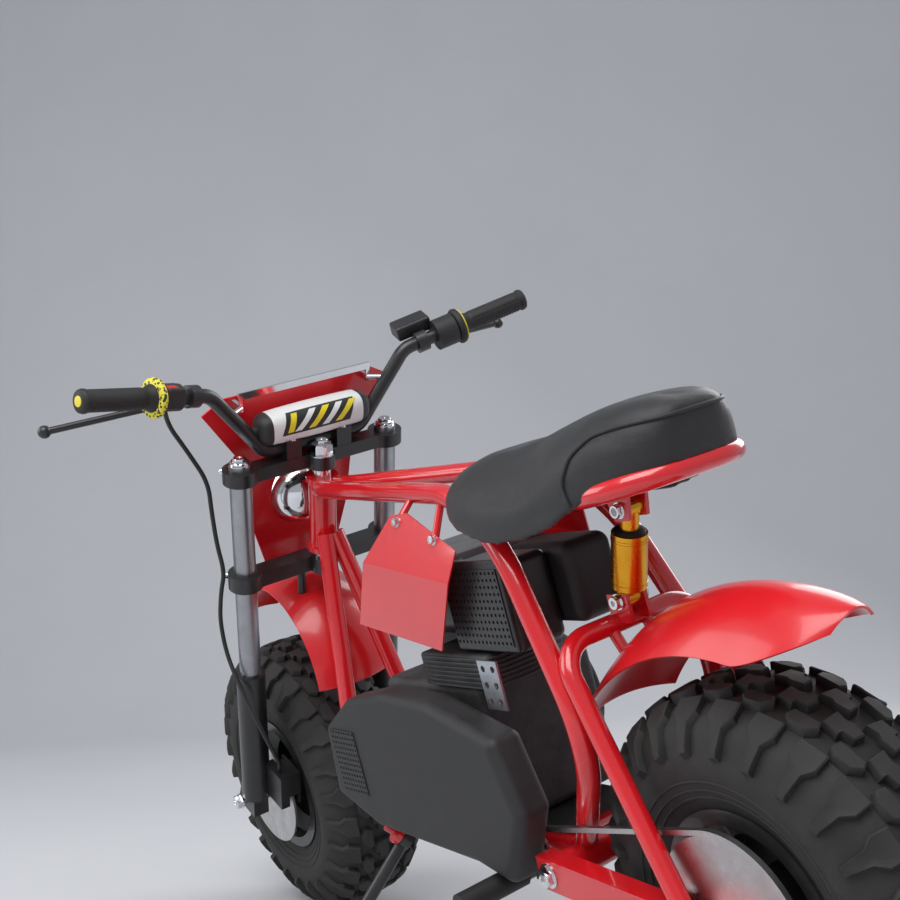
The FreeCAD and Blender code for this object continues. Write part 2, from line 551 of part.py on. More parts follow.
def swingarm():
    """Two arms on one pivot, with the arch over the tyre that takes the shock's lower end."""
    pieces = []
    axle = REAR_AXLE
    for side in (1, -1):
        arm = block((axle.x - 34, s.pivot_x + 20), (side * s.arm_y - s.arm_width / 2, side * s.arm_y + s.arm_width / 2),
                    (-s.arm_height / 2, s.arm_height / 2))
        tilt = math.degrees(math.atan2(s.pivot_z - axle.z, s.pivot_x - axle.x))
        arm.rotate(Vector(s.pivot_x, 0, 0), Y, -tilt)
        arm.translate(Vector(0, 0, s.pivot_z))
        pieces.append(arm)
    arch = tube([(s.arch_foot_x, s.arm_y, s.pivot_z - 6), (s.arch_x, s.arch_y, s.arch_z),
                 (s.arch_x, -s.arch_y, s.arch_z), (s.arch_foot_x, -s.arm_y, s.pivot_z - 6)],
                s.arch_radius, s.arch_bend)
    width = s.shock_eye_width / 2
    tabs = [block((s.arch_x - 30, s.arch_x + 5), (side * (width + 1 + s.ear_thick / 2) - s.ear_thick / 2, side * (width + 1 + s.ear_thick / 2) + s.ear_thick / 2),
                  (s.arch_z, s.shock_foot_z + 8)) for side in (1, -1)]
    toward = (Vector(axle.x, 0, axle.z) - Vector(s.arch_x, 0, s.arch_z)).normalize()
    posts = [cylinder(7, Vector(s.arch_x, side * s.fender_post_y, s.arch_z),
                      Vector(s.arch_x, side * s.fender_post_y, s.arch_z) + toward * 60) for side in (1, -1)]
    arms = joined(*pieces, arch, *tabs, *posts)
    arms = arms.cut(cylinder(s.pivot_radius, (s.pivot_x, -200, s.pivot_z), (s.pivot_x, 200, s.pivot_z)))
    arms = arms.cut(cylinder(s.axle_radius, (axle.x, -200, axle.z), (axle.x, 200, axle.z)))
    arms = arms.cut(cylinder(s.bolt_radius, (s.shock_foot_x, -60, s.shock_foot_z), (s.shock_foot_x, 60, s.shock_foot_z)))
    feature("swingarm", arms, ["rear_fender"], biggest=True)
    reach = s.arm_y + s.arm_width / 2 + 2
    shaft = joined(cylinder(s.axle_radius, (axle.x, -reach, axle.z), (axle.x, reach, axle.z)),
                   cylinder(s.stub_radius, (axle.x, -reach - s.stub_length, axle.z),
                            (axle.x, reach + s.stub_length, axle.z)))
    for side in (1, -1):
        shaft = joined(shaft, cylinder(s.axle_radius + 6, (axle.x, side * (s.hub_width / 2 + 6), axle.z),
                                       (axle.x, side * (s.arm_y - s.arm_width / 2 - 0.2), axle.z)))
    feature("rear_axle", shaft)


def shock():
    """The rear shock: a body on the swingarm and a rod end under the seat, with its two bolts."""
    top = Vector(s.shock_top_x, 0, s.shock_top_z)
    foot = Vector(s.shock_foot_x, 0, s.shock_foot_z)
    axis = (top - foot).normalize()
    width = s.shock_eye_width / 2
    upper = joined(cylinder(s.shock_eye, top - Y * width, top + Y * width), cylinder(s.shock_neck, foot + axis * 84, top))
    lower = joined(cylinder(s.shock_eye, foot - Y * width, foot + Y * width),
                   Part.makeCylinder(s.shock_radius, 68, foot + axis * 15.6, axis), cylinder(9, foot, foot + axis * 16))
    for label, shape, at in (("shock_rod", upper, top), ("shock_body", lower, foot)):
        feature(label, shape.cut(cylinder(s.bolt_radius, at - Y * 30, at + Y * 30)))
    bolts = [cylinder(s.bolt_radius, at - Y * 24, at + Y * 24) for at in (top, foot)]
    reach = s.arm_y + s.arm_width / 2 + 9
    pivot = cylinder(s.pivot_radius, (s.pivot_x, -reach, s.pivot_z), (s.pivot_x, reach, s.pivot_z))
    feature("pivot_bolts", pivot.multiFuse(bolts))


# ---------------------------------------------------------------- seat and body panels
def seat():
    """The cushion's plain outer form, low at the front with a raised hump behind."""
    foot = s.hoop_z + s.hoop_radius + s.fit_gap
    side = [(s.seat_front_x, foot), (s.seat_front_x, s.seat_nose_top), (s.seat_front_x - 90, s.seat_nose_top + 6),
            (s.seat_hump_x, s.seat_hump_top - 6), (s.seat_hump_x - 90, s.seat_hump_top + 2), (s.seat_back_x + 4, s.seat_hump_top - 8),
            (s.seat_back_x - 8, foot + s.hoop_rise), (s.seat_back_x + 100, foot + s.hoop_rise)]
    feature("seat", slab([(x, -s.seat_half, z) for x, z in side], 2 * s.seat_half, (0, 1, 0)),
            ["main_tube_left", "main_tube_right", "seat_hoop"])


def side_plates():
    """A folded sheet on each side: a lower panel that stands upright and an upper one that leans in."""
    fold = [Vector(s.panel_front_x, s.panel_y, s.panel_front_z), Vector(s.panel_rear_x, s.panel_y, s.panel_rear_z)]
    rims = [(s.panel_rear_x - 16, s.panel_rear_z + 38), (s.panel_rear_x + 95, s.panel_top_z),
            (s.panel_front_x - 70, s.panel_top_z)]
    upper = fold + [panel_point(x, z)[0] for x, z in rims]
    inward = panel_point(*rims[0])[1] * -1
    drop = Vector(s.panel_shift, 0, -s.panel_drop)
    lower = [fold[0], fold[1], fold[1] + drop, fold[0] + drop]
    both = joined(slab(upper, s.panel_thick, inward), slab(lower, s.panel_thick, -Y))
    feature("side_plates", both.fuse(mirrored(both)), ["main_tube_left", "main_tube_right"])


# ---------------------------------------------------------------- engine and drive
def engine():
    """The engine as solid blocks of its real size: crankcase, finned barrel, tank, filter box and silencer."""
    base = s.rail_z + s.tube_radius + s.fit_gap + s.engine_plate_thick
    crankcase = softened(block((-190, 60), (-95, 88), (base, 470)), 12)
    feature("engine_block", joined(crankcase, block((-150, 35), (-60, 8), (460, 525))))
    feature("engine_barrel", softened(block((-235, -75), (10, 96), (470.2, 515)), 5))
    feature("fuel_tank", softened(block((-165, 48), (-100, 62), (525, 634)), 24))
    feature("filter_box", softened(block((-335, -200), (-66, 8), (530, 632)), 16))
    feature("silencer", joined(softened(block((-300, -175), (8.3, 84), (515.2, 630)), 12),
                               softened(block((-304, -171), (82, 90), (520, 636)), 3)))
    cover = softened(cylinder(88, (-65, -95.3, 390), (-65, -128, 390)), 9)
    feature("recoil_cover", cover)


def hull(rear, rear_radius, front, front_radius, low, high):
    """A flat solid round two circles and the band between them, from y = low to y = high."""
    gap = front - rear
    tilt = math.asin((rear_radius - front_radius) / gap.Length)
    heading = math.atan2(gap.z, gap.x)
    corners = []
    for side in (1, -1):
        angle = heading + side * (math.pi / 2 - tilt)
        out = Vector(math.cos(angle), 0, math.sin(angle))
        pair = [rear + out * rear_radius, front + out * front_radius]
        corners += pair if side > 0 else pair[::-1]
    band = slab([Vector(p.x, low, p.z) for p in corners], high - low, Y)
    ends = [cylinder(radius, (at.x, low, at.z), (at.x, high, at.z))
            for at, radius in ((rear, rear_radius), (front, front_radius))]
    return joined(band, *ends)


def drive():
    """The belt-drive cover on the left, and the chain from its output sprocket to the rear wheel."""
    outline = [(166, 310), (150, 415), (70, 458), (-40, 476), (-150, 470), (-290, 432), (-318, 340), (-262, 246),
               (-190, 262), (60, 272)]
    cover = softened(slab([(x, 105, z) for x, z in outline], 52, (0, 1, 0)), 15)
    boss = cylinder(55, (-60, 88.2, 385), (-60, 110, 385))
    feature("drive_cover", joined(cover, boss), ["main_tube_left", "down_tube_left"])
    middle = s.hub_width / 2 + 0.5 + s.disc_thick / 2
    low = middle - s.chain_width / 2
    high = middle + s.chain_width / 2
    small = Vector(s.drive_x, 0, s.drive_z)
    sizes = (s.rear_teeth_radius + 0.5, s.drive_teeth_radius + s.fit_gap)
    inner = hull(REAR_AXLE, sizes[0], small, sizes[1], low, high)
    outer = hull(REAR_AXLE, sizes[0] + s.chain_height, small, sizes[1] + s.chain_height, low, high)
    feature("drive_chain", outer.cut(inner))
    teeth = cylinder(s.drive_teeth_radius, (small.x, middle - 2, small.z), (small.x, middle + 2, small.z))
    shaft = cylinder(9, (small.x, middle, small.z), (small.x, 104.8, small.z))
    feature("drive_sprocket", joined(teeth, shaft))


# ---------------------------------------------------------------- brakes
def brakes():
    """A caliper over each disc, and the front one's hose down the left fork leg."""
    middle = s.hub_width / 2 + 0.5 + s.disc_thick / 2
    slot = s.disc_thick / 2 + s.pad_gap
    low = -s.axle_down
    front = block((-52, 4), (middle - slot - 5, middle + slot + 16), (low + 28, low + 92))
    gap = cylinder(s.disc_radius + s.pad_gap, (s.axle_forward, middle - slot, low), (s.axle_forward, middle + slot, low))
    feature("front_caliper", front.cut(gap), ["sliders"], STEER)
    rear = block((-566, -500), (-middle - slot - 14, -middle + slot + 5), (292, 346))
    rear = rear.fuse(block((-556, -510), (-middle - slot - 14, -middle - slot), (250, 310)))
    gap = cylinder(s.disc_radius + s.pad_gap, (REAR_AXLE.x, -middle - slot, REAR_AXLE.z),
                   (REAR_AXLE.x, -middle + slot, REAR_AXLE.z))
    feature("rear_caliper", rear.cut(gap), ["swingarm", "rear_axle"])
    route = [(24, 246, 176), (44, 232, 128), (56, 200, 72), (50, 172, 14), (58, 165, -48), (50, 163.5, -100),
             (30, 163.2, -140), (50, 162, -190), (64, 160, -250), (48, 160, -305), (0, 161, -348), (-44, 152, -400),
             (-52, 134, -455), (-36, 114, -500), (-26, 112, -526)]
    feature("front_brake_hose", tube(route, s.hose_radius, soft_bends(route)),
            ["lever_perches", "switch_housing", "front_caliper", "lower_clamp", "handlebar"], STEER, biggest=True)


# ---------------------------------------------------------------- foot pegs and side stand
def foot_pegs():
    """One cross bar under the rails with a rubber sleeve on each end."""
    z = s.rail_z - s.tube_radius - s.peg_radius - s.fit_gap
    feature("foot_pegs", cylinder(s.peg_radius, (s.peg_x, -s.peg_reach, z), (s.peg_x, s.peg_reach, z)))
    rubber = cylinder(s.peg_grip, (s.peg_x, s.peg_reach + 3, z), (s.peg_x, s.peg_reach - s.peg_grip_length, z))
    feature("peg_rubbers", rubber.fuse(mirrored(rubber)), ["foot_pegs"])


def ground():
    """Height and slope of the ground as the leaning bike meets it: a point and the direction straight up."""
    lean = math.radians(s.lean_angle)
    up = Vector(0, -math.sin(lean), math.cos(lean))
    rims = [(s.tyre_radius, 0), (s.tyre_radius - s.tread_drop, s.tread_width / 2),
            (s.tyre_radius - s.shoulder_drop, s.shoulder_width / 2), (s.widest_radius, s.tyre_width / 2)]
    low = min((s.tyre_radius - r) * up.z + y * up.y for r, y in rims)
    return up * low, up


def side_stand():
    """A leg that folds back along the left rail, with a round foot flat on the ground."""
    origin, up = ground()
    foot = Vector(s.stand_foot_x, s.stand_foot_y, 0)
    foot = foot + Z * (((origin - foot).dot(up)) / up.z)
    pivot = Vector(s.stand_x, s.stand_y, s.stand_z)
    stowed = Vector(-0.97, 0.16, 0.03)
    axis = (foot - pivot).cross(stowed).normalize()
    sole = Part.makeCylinder(s.foot_radius, s.foot_thick, foot, up)
    leg = cylinder(s.stand_radius, pivot, foot + up * (s.foot_thick / 2))
    eye = Part.makeCylinder(15, 16, pivot - axis * 8, axis)
    bolt = Part.makeCylinder(6 + s.bearing_gap, 40, pivot - axis * 20, axis)
    below = Part.makeCylinder(200, 100, foot - up * 100, up)
    stand = joined(leg, sole, eye).cut(bolt).cut(below)
    feature("side_stand", stand)
    pin = Part.makeCylinder(6, 44, pivot - axis * 9, axis)
    lug = Part.makeCylinder(15, 8, pivot + axis * (s.stand_radius + s.fit_gap), axis)
    arm = cylinder(9, pivot + axis * 12.3, (s.stand_x, s.down_foot_y + 8, s.rail_z - 4))
    zone = Part.makeCylinder(24, 9 + s.stand_radius + s.fit_gap, pivot - axis * 9, axis)
    feature("stand_bracket", joined(pin, lug, arm.cut(zone)), ["down_tube_left"])
    return pivot, axis


def lean_over():
    """Lean the whole bike to its left, with its lowest point on the ground and its box centred on the origin."""
    lean = Placement(Vector(), Rotation(X, -s.lean_angle))
    doc.recompute()
    box = FreeCAD.BoundBox()
    for item, place in PARTS.values():
        shape = item.Shape.copy()
        shape.Placement = lean.multiply(shape.Placement)
        box.add(shape.optimalBoundingBox(True, False))
    move = Vector(-box.Center.x, -box.Center.y, -box.ZMin)
    stand = Placement(move, lean.Rotation)
    for item, place in PARTS.values():
        item.Placement = stand.multiply(item.Placement)
    doc.recompute()
    return stand


def check():
    """Stop on any failed object or broken solid."""
    for item in doc.Objects:
        if "Invalid" in item.State or "Error" in item.State:
            raise RuntimeError("failed: " + item.Label)
    for label, (item, _) in PARTS.items():
        if item.Shape.isNull() or not item.Shape.isValid() or not item.Shape.Solids:
            raise RuntimeError(f"no sound solid: {label} {item.Shape.isNull()} {item.Shape.isValid()} {len(item.Shape.Solids)} {item.Shape}")


def write():
    """One file for each sub-part."""
    os.makedirs("parts", exist_ok=True)
    for label, (item, _) in PARTS.items():
        item.Shape.exportStep("parts/" + label + ".step")
        box = item.Shape.BoundBox
        print(f"{label:24s} {len(item.Shape.Solids)} solids {item.Shape.Volume / 1000:9.1f} cm3")


wheels()
frame()
handlebar_bar()
front_fender()
fork()
handlebar()
front_plate()
rear_fender()
swingarm()
shock()
seat()
side_plates()
engine()
drive()
brakes()
foot_pegs()
stand_hinge = side_stand()
check()
placed = lean_over()
check()
write()
for title, at, axis in (("steering", Vector(s.head_x, 0, s.head_z), STEER.Rotation.multVec(Z)),
                        ("front_wheel", FRONT_AXLE, Y), ("rear_wheel", REAR_AXLE, Y), ("stand", *stand_hinge)):
    at = placed.multVec(at)
    axis = placed.Rotation.multVec(axis)
    print("joint", title, *(round(value, 4) for value in (*at, *axis)))
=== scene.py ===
# %% [markdown]
# # A small off-road motorcycle, dressed in Blender
# The frame of imported parts gives every hard piece its true shape and place. This file adds what a
# shape alone can't say: paint, plating, rubber, cloth, tread and bolts. New pieces are worked
# out on the upright machine and then leaned over with the rest, so their sizes stay easy to read.

# %% Load the imported frame
import json
import math

import bmesh
import bpy
import numpy as np
from mathutils import Matrix, Vector


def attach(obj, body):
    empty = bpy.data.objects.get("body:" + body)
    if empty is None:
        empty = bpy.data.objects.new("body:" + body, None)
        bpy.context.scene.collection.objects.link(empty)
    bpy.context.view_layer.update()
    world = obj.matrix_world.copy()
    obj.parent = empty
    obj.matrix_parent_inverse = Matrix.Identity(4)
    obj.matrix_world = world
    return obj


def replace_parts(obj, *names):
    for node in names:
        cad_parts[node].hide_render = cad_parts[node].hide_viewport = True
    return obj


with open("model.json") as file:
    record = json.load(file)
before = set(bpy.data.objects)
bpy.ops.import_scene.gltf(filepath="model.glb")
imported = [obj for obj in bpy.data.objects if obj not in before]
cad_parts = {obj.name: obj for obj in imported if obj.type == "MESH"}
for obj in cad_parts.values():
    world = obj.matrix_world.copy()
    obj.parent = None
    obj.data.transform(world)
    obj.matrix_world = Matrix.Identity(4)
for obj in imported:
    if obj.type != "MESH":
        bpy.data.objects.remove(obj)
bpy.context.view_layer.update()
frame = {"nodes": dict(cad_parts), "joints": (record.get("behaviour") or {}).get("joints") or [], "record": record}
nodes = frame["nodes"]

# %% [markdown]
# The machine leans on its side stand. The rear wheel's joint holds both the lean, as the tilt of its
# axle, and the shift. From them comes one matrix that carries upright coordinates to the leaning machine.

# %% The matrix from the upright machine to the leaning one
joints = {joint["name"]: joint for joint in frame["joints"]}
axle = joints["rear_wheel_spin"]
lean_angle = math.atan2(-axle["axis"][2], axle["axis"][1])
turn = Matrix.Rotation(-lean_angle, 4, "X")
REAR_AXLE = Vector((-0.5775, 0.0, 0.241))
lean = Matrix.Translation(Vector(axle["pos_m"]) - turn @ REAR_AXLE) @ turn
print("lean", round(math.degrees(lean_angle), 2))

# %% [markdown]
# The camera stands high behind the left side and looks forward and slightly down. Its three axes are
# written on the upright machine, so the lean carries it too. A long lens keeps the lines nearly parallel.

# %% The camera
def make_camera(place, right, up, look, lens):
    """A camera whose local X, Y and -Z run along right, up and look, all given on the upright machine."""
    data = bpy.data.cameras.new("main_camera")
    data.lens = lens
    data.sensor_width = 36
    data.clip_end = 50
    camera = bpy.data.objects.new("main_camera", data)
    axes = Matrix((right, up, -Vector(look))).transposed().to_4x4()
    camera.matrix_world = lean @ Matrix.Translation(place) @ axes
    bpy.context.scene.collection.objects.link(camera)
    bpy.context.scene.camera = camera
    return camera


camera = make_camera(place=(-1.61647, 0.93883, 0.85829), right=(-0.52695, -0.81113, -0.25377),
                     up=(-0.09263, -0.242, 0.96584), look=(0.84484, -0.53245, -0.05239), lens=52.98)
print("camera at", tuple(round(value, 3) for value in camera.location))

# %% [markdown]
# A studio is a pale floor that curls up into a wall, so that no line shows behind the machine. A big
# soft lamp above makes the long highlights on the tubes, and a weaker one at each side opens the shadows.

# %% The floor, the wall and the lamps
def cove(width, depth, height, bend):
    """A sheet along a profile: flat for depth, then a quarter circle of radius bend, then up to height."""
    angles = np.linspace(0, math.pi / 2, 17)
    along = np.concatenate(([0.0], depth + bend * np.sin(angles), [depth + bend]))
    up = np.concatenate(([0.0], bend * (1 - np.cos(angles)), [height]))
    across = np.linspace(-width / 2, width / 2, 3)
    grid_along, grid_across = np.meshgrid(along, across, indexing="ij")
    grid_up = np.repeat(up[:, None], len(across), 1)
    return np.stack((grid_along, grid_across, grid_up), -1)


def grid_mesh(name, grid, close_u=False, close_v=False):
    """A mesh from an array of points shaped (rows, columns, 3), with a four-sided face between neighbours."""
    rows, columns = grid.shape[:2]
    index = np.arange(rows * columns).reshape(rows, columns)
    if close_u:
        index = np.concatenate((index, index[:1]), 0)
    if close_v:
        index = np.concatenate((index, index[:, :1]), 1)
    faces = np.stack((index[:-1, :-1], index[1:, :-1], index[1:, 1:], index[:-1, 1:]), -1).reshape(-1, 4)
    mesh = bpy.data.meshes.new(name)
    mesh.from_pydata(grid.reshape(-1, 3).tolist(), [], faces.tolist())
    mesh.polygons.foreach_set("use_smooth", [True] * len(mesh.polygons))
    mesh.update()
    piece = bpy.data.objects.new(name, mesh)
    bpy.context.scene.collection.objects.link(piece)
    return piece


floor = grid_mesh("studio_floor", cove(width=14, depth=6.0, height=7.0, bend=1.5) - np.array((3.0, 0, 0)))
facing = camera.matrix_world.to_quaternion() @ Vector((0, 0, -1))
floor.data.transform(Matrix.Rotation(math.atan2(facing.y, facing.x), 4, "Z"))


def area_lamp(name, place, aim, size, power):
    """A square soft lamp at place, pointed at aim."""
    data = bpy.data.lights.new(name, "AREA")
    data.shape = "SQUARE"
    data.size = size
    data.energy = power
    lamp = bpy.data.objects.new(name, data)
    lamp.location = place
    lamp.rotation_euler = (Vector(aim) - Vector(place)).to_track_quat("-Z", "Y").to_euler()
    bpy.context.scene.collection.objects.link(lamp)


area_lamp("key_lamp", (-1.2, 1.6, 3.2), (0, 0, 0.5), 2.6, 95)
area_lamp("side_lamp", (1.8, 2.6, 1.8), (0, 0, 0.5), 2.0, 32)
area_lamp("far_lamp", (0.6, -2.8, 2.4), (0, 0, 0.5), 2.2, 45)

world = bpy.data.worlds.new("studio_air")
bpy.context.scene.world = world
world.use_nodes = True
world.node_tree.nodes["Background"].inputs["Color"].default_value = (0.9, 0.92, 1.0, 1)
world.node_tree.nodes["Background"].inputs["Strength"].default_value = 0.42
bpy.context.scene.view_settings.view_transform = "Standard"

# %% [markdown]
# Real surfaces are never quite even. Three small effects are shared by most finishes: a mottled
# mask for dust and handling, a fine grain for moulded and cast skins, and a scatter of round spots.
# Each is a node group, built once, that gives out only masks and heights.

# %% Shared shader effects
def new_group(name, inputs, outputs):
    """An empty shader node group with float inputs (name: value) and outputs (name: kind)."""
    group = bpy.data.node_groups.new(name, "ShaderNodeTree")
    for label, value in inputs.items():
        socket = group.interface.new_socket(name=label, in_out="INPUT", socket_type="NodeSocketFloat")
        socket.default_value = value
    for label, kind in outputs.items():
        group.interface.new_socket(name=label, in_out="OUTPUT", socket_type="NodeSocket" + kind)
    tree = group.nodes
    return group, tree.new("NodeGroupInput"), tree.new("NodeGroupOutput"), tree.new("ShaderNodeTexCoord")


def wire(group, start, end):
    """Join two sockets in a group or a material."""
    group.links.new(start, end)


def make_mottle():
    """Soft blotches from one noise, spread between 0 and 1 and scaled by Amount."""
    group, given, out, where = new_group("mottle", {"Scale": 12.0, "Amount": 1.0}, {"Mask": "Float"})
    big = group.nodes.new("ShaderNodeTexNoise")
    big.inputs["Detail"].default_value = 6
    big.inputs["Roughness"].default_value = 0.65
    spread = group.nodes.new("ShaderNodeMapRange")
    spread.inputs["From Min"].default_value = 0.35
    spread.inputs["From Max"].default_value = 0.7
    amount = group.nodes.new("ShaderNodeMath")
    amount.operation = "MULTIPLY"
    wire(group, where.outputs["Object"], big.inputs["Vector"])
    wire(group, given.outputs["Scale"], big.inputs["Scale"])
    wire(group, big.outputs["Fac"], spread.inputs["Value"])
    wire(group, spread.outputs["Result"], amount.inputs[0])
    wire(group, given.outputs["Amount"], amount.inputs[1])
    wire(group, amount.outputs[0], out.inputs["Mask"])
    return group


def make_grain():
    """Leather-like cells: the distance to the nearest cell edge, rounded off by a smooth step."""
    group, given, out, where = new_group("grain", {"Scale": 300.0}, {"Height": "Float"})
    cells = group.nodes.new("ShaderNodeTexVoronoi")
    cells.feature = "DISTANCE_TO_EDGE"
    round_off = group.nodes.new("ShaderNodeMapRange")
    round_off.interpolation_type = "SMOOTHSTEP"
    round_off.inputs["From Max"].default_value = 0.25
    wire(group, where.outputs["Object"], cells.inputs["Vector"])
    wire(group, given.outputs["Scale"], cells.inputs["Scale"])
    wire(group, cells.outputs["Distance"], round_off.inputs["Value"])
    wire(group, round_off.outputs["Result"], out.inputs["Height"])
    return group


def make_spots():
    """Round spots: 1 near each cell's centre and 0 past a share of its size."""
    group, given, out, where = new_group("spots", {"Scale": 180.0, "Size": 0.35}, {"Mask": "Float"})
    cells = group.nodes.new("ShaderNodeTexVoronoi")
    near = group.nodes.new("ShaderNodeMath")
    near.operation = "LESS_THAN"
    wire(group, where.outputs["Object"], cells.inputs["Vector"])
    wire(group, given.outputs["Scale"], cells.inputs["Scale"])
    wire(group, cells.outputs["Distance"], near.inputs[0])
    wire(group, given.outputs["Size"], near.inputs[1])
    wire(group, near.outputs[0], out.inputs["Mask"])
    return group


MOTTLE = make_mottle()
GRAIN = make_grain()
SPOTS = make_spots()

# %% [markdown]
# Every finish starts from one helper. It takes the constants that go straight onto the shader, a second
# colour that the mottle fades to, a roughness range, and a relief. Gloss paint then gets a clear coat.

# %% The helper that makes a finish
def use(tree, group, **values):
    """A placed copy of a shared group with its own values."""
    node = tree.nodes.new("ShaderNodeGroup")
    node.node_tree = group
    for label, value in values.items():
        node.inputs[label].default_value = value
    return node


def finish(name, colour, second=None, rough=(0.3, 0.4), mottle=12.0, relief=None, depth=0.0, **sockets):
    """A material: colour fading to second and roughness between two values by the mottle, with a relief."""
    material = bpy.data.materials.new(name)
    material.use_nodes = True
    tree = material.node_tree
    shader = tree.nodes["Principled BSDF"]
    for label, value in sockets.items():
        shader.inputs[label.replace("_", " ")].default_value = value
    blotch = use(tree, MOTTLE, Scale=mottle)
    mix = tree.nodes.new("ShaderNodeMix")
    mix.data_type = "RGBA"
    mix.inputs["A"].default_value = (*colour, 1)
    mix.inputs["B"].default_value = (*(second or colour), 1)
    wire(tree, blotch.outputs["Mask"], mix.inputs["Factor"])
    wire(tree, mix.outputs["Result"], shader.inputs["Base Color"])
    spread = tree.nodes.new("ShaderNodeMapRange")
    spread.inputs["To Min"].default_value = rough[0]
    spread.inputs["To Max"].default_value = rough[1]
    wire(tree, blotch.outputs["Mask"], spread.inputs["Value"])
    wire(tree, spread.outputs["Result"], shader.inputs["Roughness"])
    if relief:
        kind, scale = relief
        if kind == "grain":
            height = use(tree, GRAIN, Scale=scale).outputs["Height"]
        else:
            height = use(tree, MOTTLE, Scale=scale).outputs["Mask"]
        bump = tree.nodes.new("ShaderNodeBump")
        bump.inputs["Distance"].default_value = depth
        bump.inputs["Strength"].default_value = 0.6
        wire(tree, height, bump.inputs["Height"])
        wire(tree, bump.outputs["Normal"], shader.inputs["Normal"])
    return material


RED = (0.72, 0.008, 0.014)
FINISH = {
    "red_paint": finish("red_paint", RED, (0.66, 0.006, 0.012), (0.2, 0.28), 9, ("mottle", 60), 0.0002,
                        Coat_Weight=1.0, Coat_Roughness=0.06),
    "red_plastic": finish("red_plastic", (0.74, 0.01, 0.016), (0.68, 0.008, 0.014), (0.28, 0.36), 7,
                          ("mottle", 90), 0.0001, Coat_Weight=0.5, Coat_Roughness=0.12),
    "black_metal": finish("black_metal", (0.012, 0.012, 0.013), (0.02, 0.02, 0.021), (0.28, 0.42), 14,
                          ("mottle", 260), 0.00015, Coat_Weight=0.25, Coat_Roughness=0.25),
    "black_plastic": finish("black_plastic", (0.016, 0.016, 0.017), (0.026, 0.026, 0.027), (0.5, 0.62), 20,
                            ("grain", 900), 0.0001),
    "chrome": finish("chrome", (0.82, 0.83, 0.85), (0.74, 0.75, 0.77), (0.05, 0.14), 25, Metallic=1.0),
    "steel": finish("steel", (0.56, 0.56, 0.57), (0.46, 0.45, 0.44), (0.26, 0.4), 40, ("mottle", 500), 0.0001,
                    Metallic=1.0),
    "zinc": finish("zinc", (0.58, 0.62, 0.66), (0.46, 0.47, 0.5), (0.3, 0.45), 55, Metallic=1.0),
    "cast_metal": finish("cast_metal", (0.05, 0.05, 0.052), (0.1, 0.1, 0.1), (0.5, 0.7), 30, ("grain", 700), 0.0002,
                         Metallic=0.4),
    "gold_anodised": finish("gold_anodised", (0.85, 0.42, 0.04), (0.72, 0.33, 0.02), (0.2, 0.32), 22,
                            Metallic=1.0),
    "rim": finish("rim", (0.016, 0.016, 0.016), (0.03, 0.03, 0.03), (0.3, 0.45), 18, Coat_Weight=0.3),
    "tyre": finish("tyre", (0.014, 0.014, 0.014), (0.034, 0.032, 0.03), (0.62, 0.82), 26, ("mottle", 420), 0.0003),
    "rubber": finish("rubber", (0.013, 0.013, 0.013), (0.022, 0.022, 0.022), (0.5, 0.65), 30, ("grain", 800), 0.0001),
    "black_vinyl": finish("black_vinyl", (0.012, 0.012, 0.013), (0.018, 0.018, 0.019), (0.34, 0.46), 11,
                          ("grain", 650), 0.00025, Sheen_Weight=0.06),
    "white_vinyl": finish("white_vinyl", (0.8, 0.8, 0.79), (0.72, 0.72, 0.7), (0.3, 0.42), 16,
                          ("grain", 900), 0.0001),
}


def speckled(name, colour, spot):
    """Rubber moulded with a scatter of dark spots."""
    material = finish(name, colour, None, (0.45, 0.6), 30)
    tree = material.node_tree
    shader = tree.nodes["Principled BSDF"]
    mix = tree.nodes.new("ShaderNodeMix")
    mix.data_type = "RGBA"
    mix.inputs["A"].default_value = (*colour, 1)
    mix.inputs["B"].default_value = (*spot, 1)
    wire(tree, use(tree, SPOTS, Scale=190, Size=0.42).outputs["Mask"], mix.inputs["Factor"])
    wire(tree, mix.outputs["Result"], shader.inputs["Base Color"])
    return material


FINISH["speckled_rubber"] = speckled("speckled_rubber", (0.8, 0.72, 0.05), (0.03, 0.03, 0.02))
FINISH["floor"] = finish("studio_paper", (0.62, 0.63, 0.65), (0.59, 0.6, 0.62), (0.8, 0.9), 0.8)
floor.data.materials.append(FINISH["floor"])
print("finishes:", len(FINISH))

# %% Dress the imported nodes
slot_of = {entry["node"]: entry["material_slot"] for entry in frame["record"]["subparts"]}
for label, node in nodes.items():
    node.data.materials.clear()
    node.data.materials.append(FINISH[slot_of[label]])

# %% [markdown]
# Pieces that aren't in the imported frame, or only stand there as plain forms, are surfaces of two
# parameters. A ring of points carried round an axle gives the tyre; the same idea, with a block's
# outline in place of the ring, gives each of its lugs.

# %% Placing new pieces
STEER = Matrix.Translation((0.258, 0, 0.763)) @ Matrix.Rotation(math.radians(-28), 4, "Y")
FRONT_AXLE = STEER @ Vector((0.037, 0, -0.611))


def place(points, matrix=Matrix.Identity(4)):
    """Points of an array (…, 3) carried by matrix and then by the lean."""
    whole = np.array(lean @ matrix)
    return points @ whole[:3, :3].T + whole[:3, 3]


def to_mesh(name, points, faces, finish_name, body):
    """A piece from points (n, 3) already in place and a list of faces, with its finish, riding on body."""
    mesh = bpy.data.meshes.new(name)
    mesh.from_pydata(points.tolist(), [], faces)
    mesh.polygons.foreach_set("use_smooth", [True] * len(mesh.polygons))
    mesh.update()
    piece = bpy.data.objects.new(name, mesh)
    bpy.context.scene.collection.objects.link(piece)
    mesh.materials.append(FINISH[finish_name])
    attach(piece, body)
    return piece


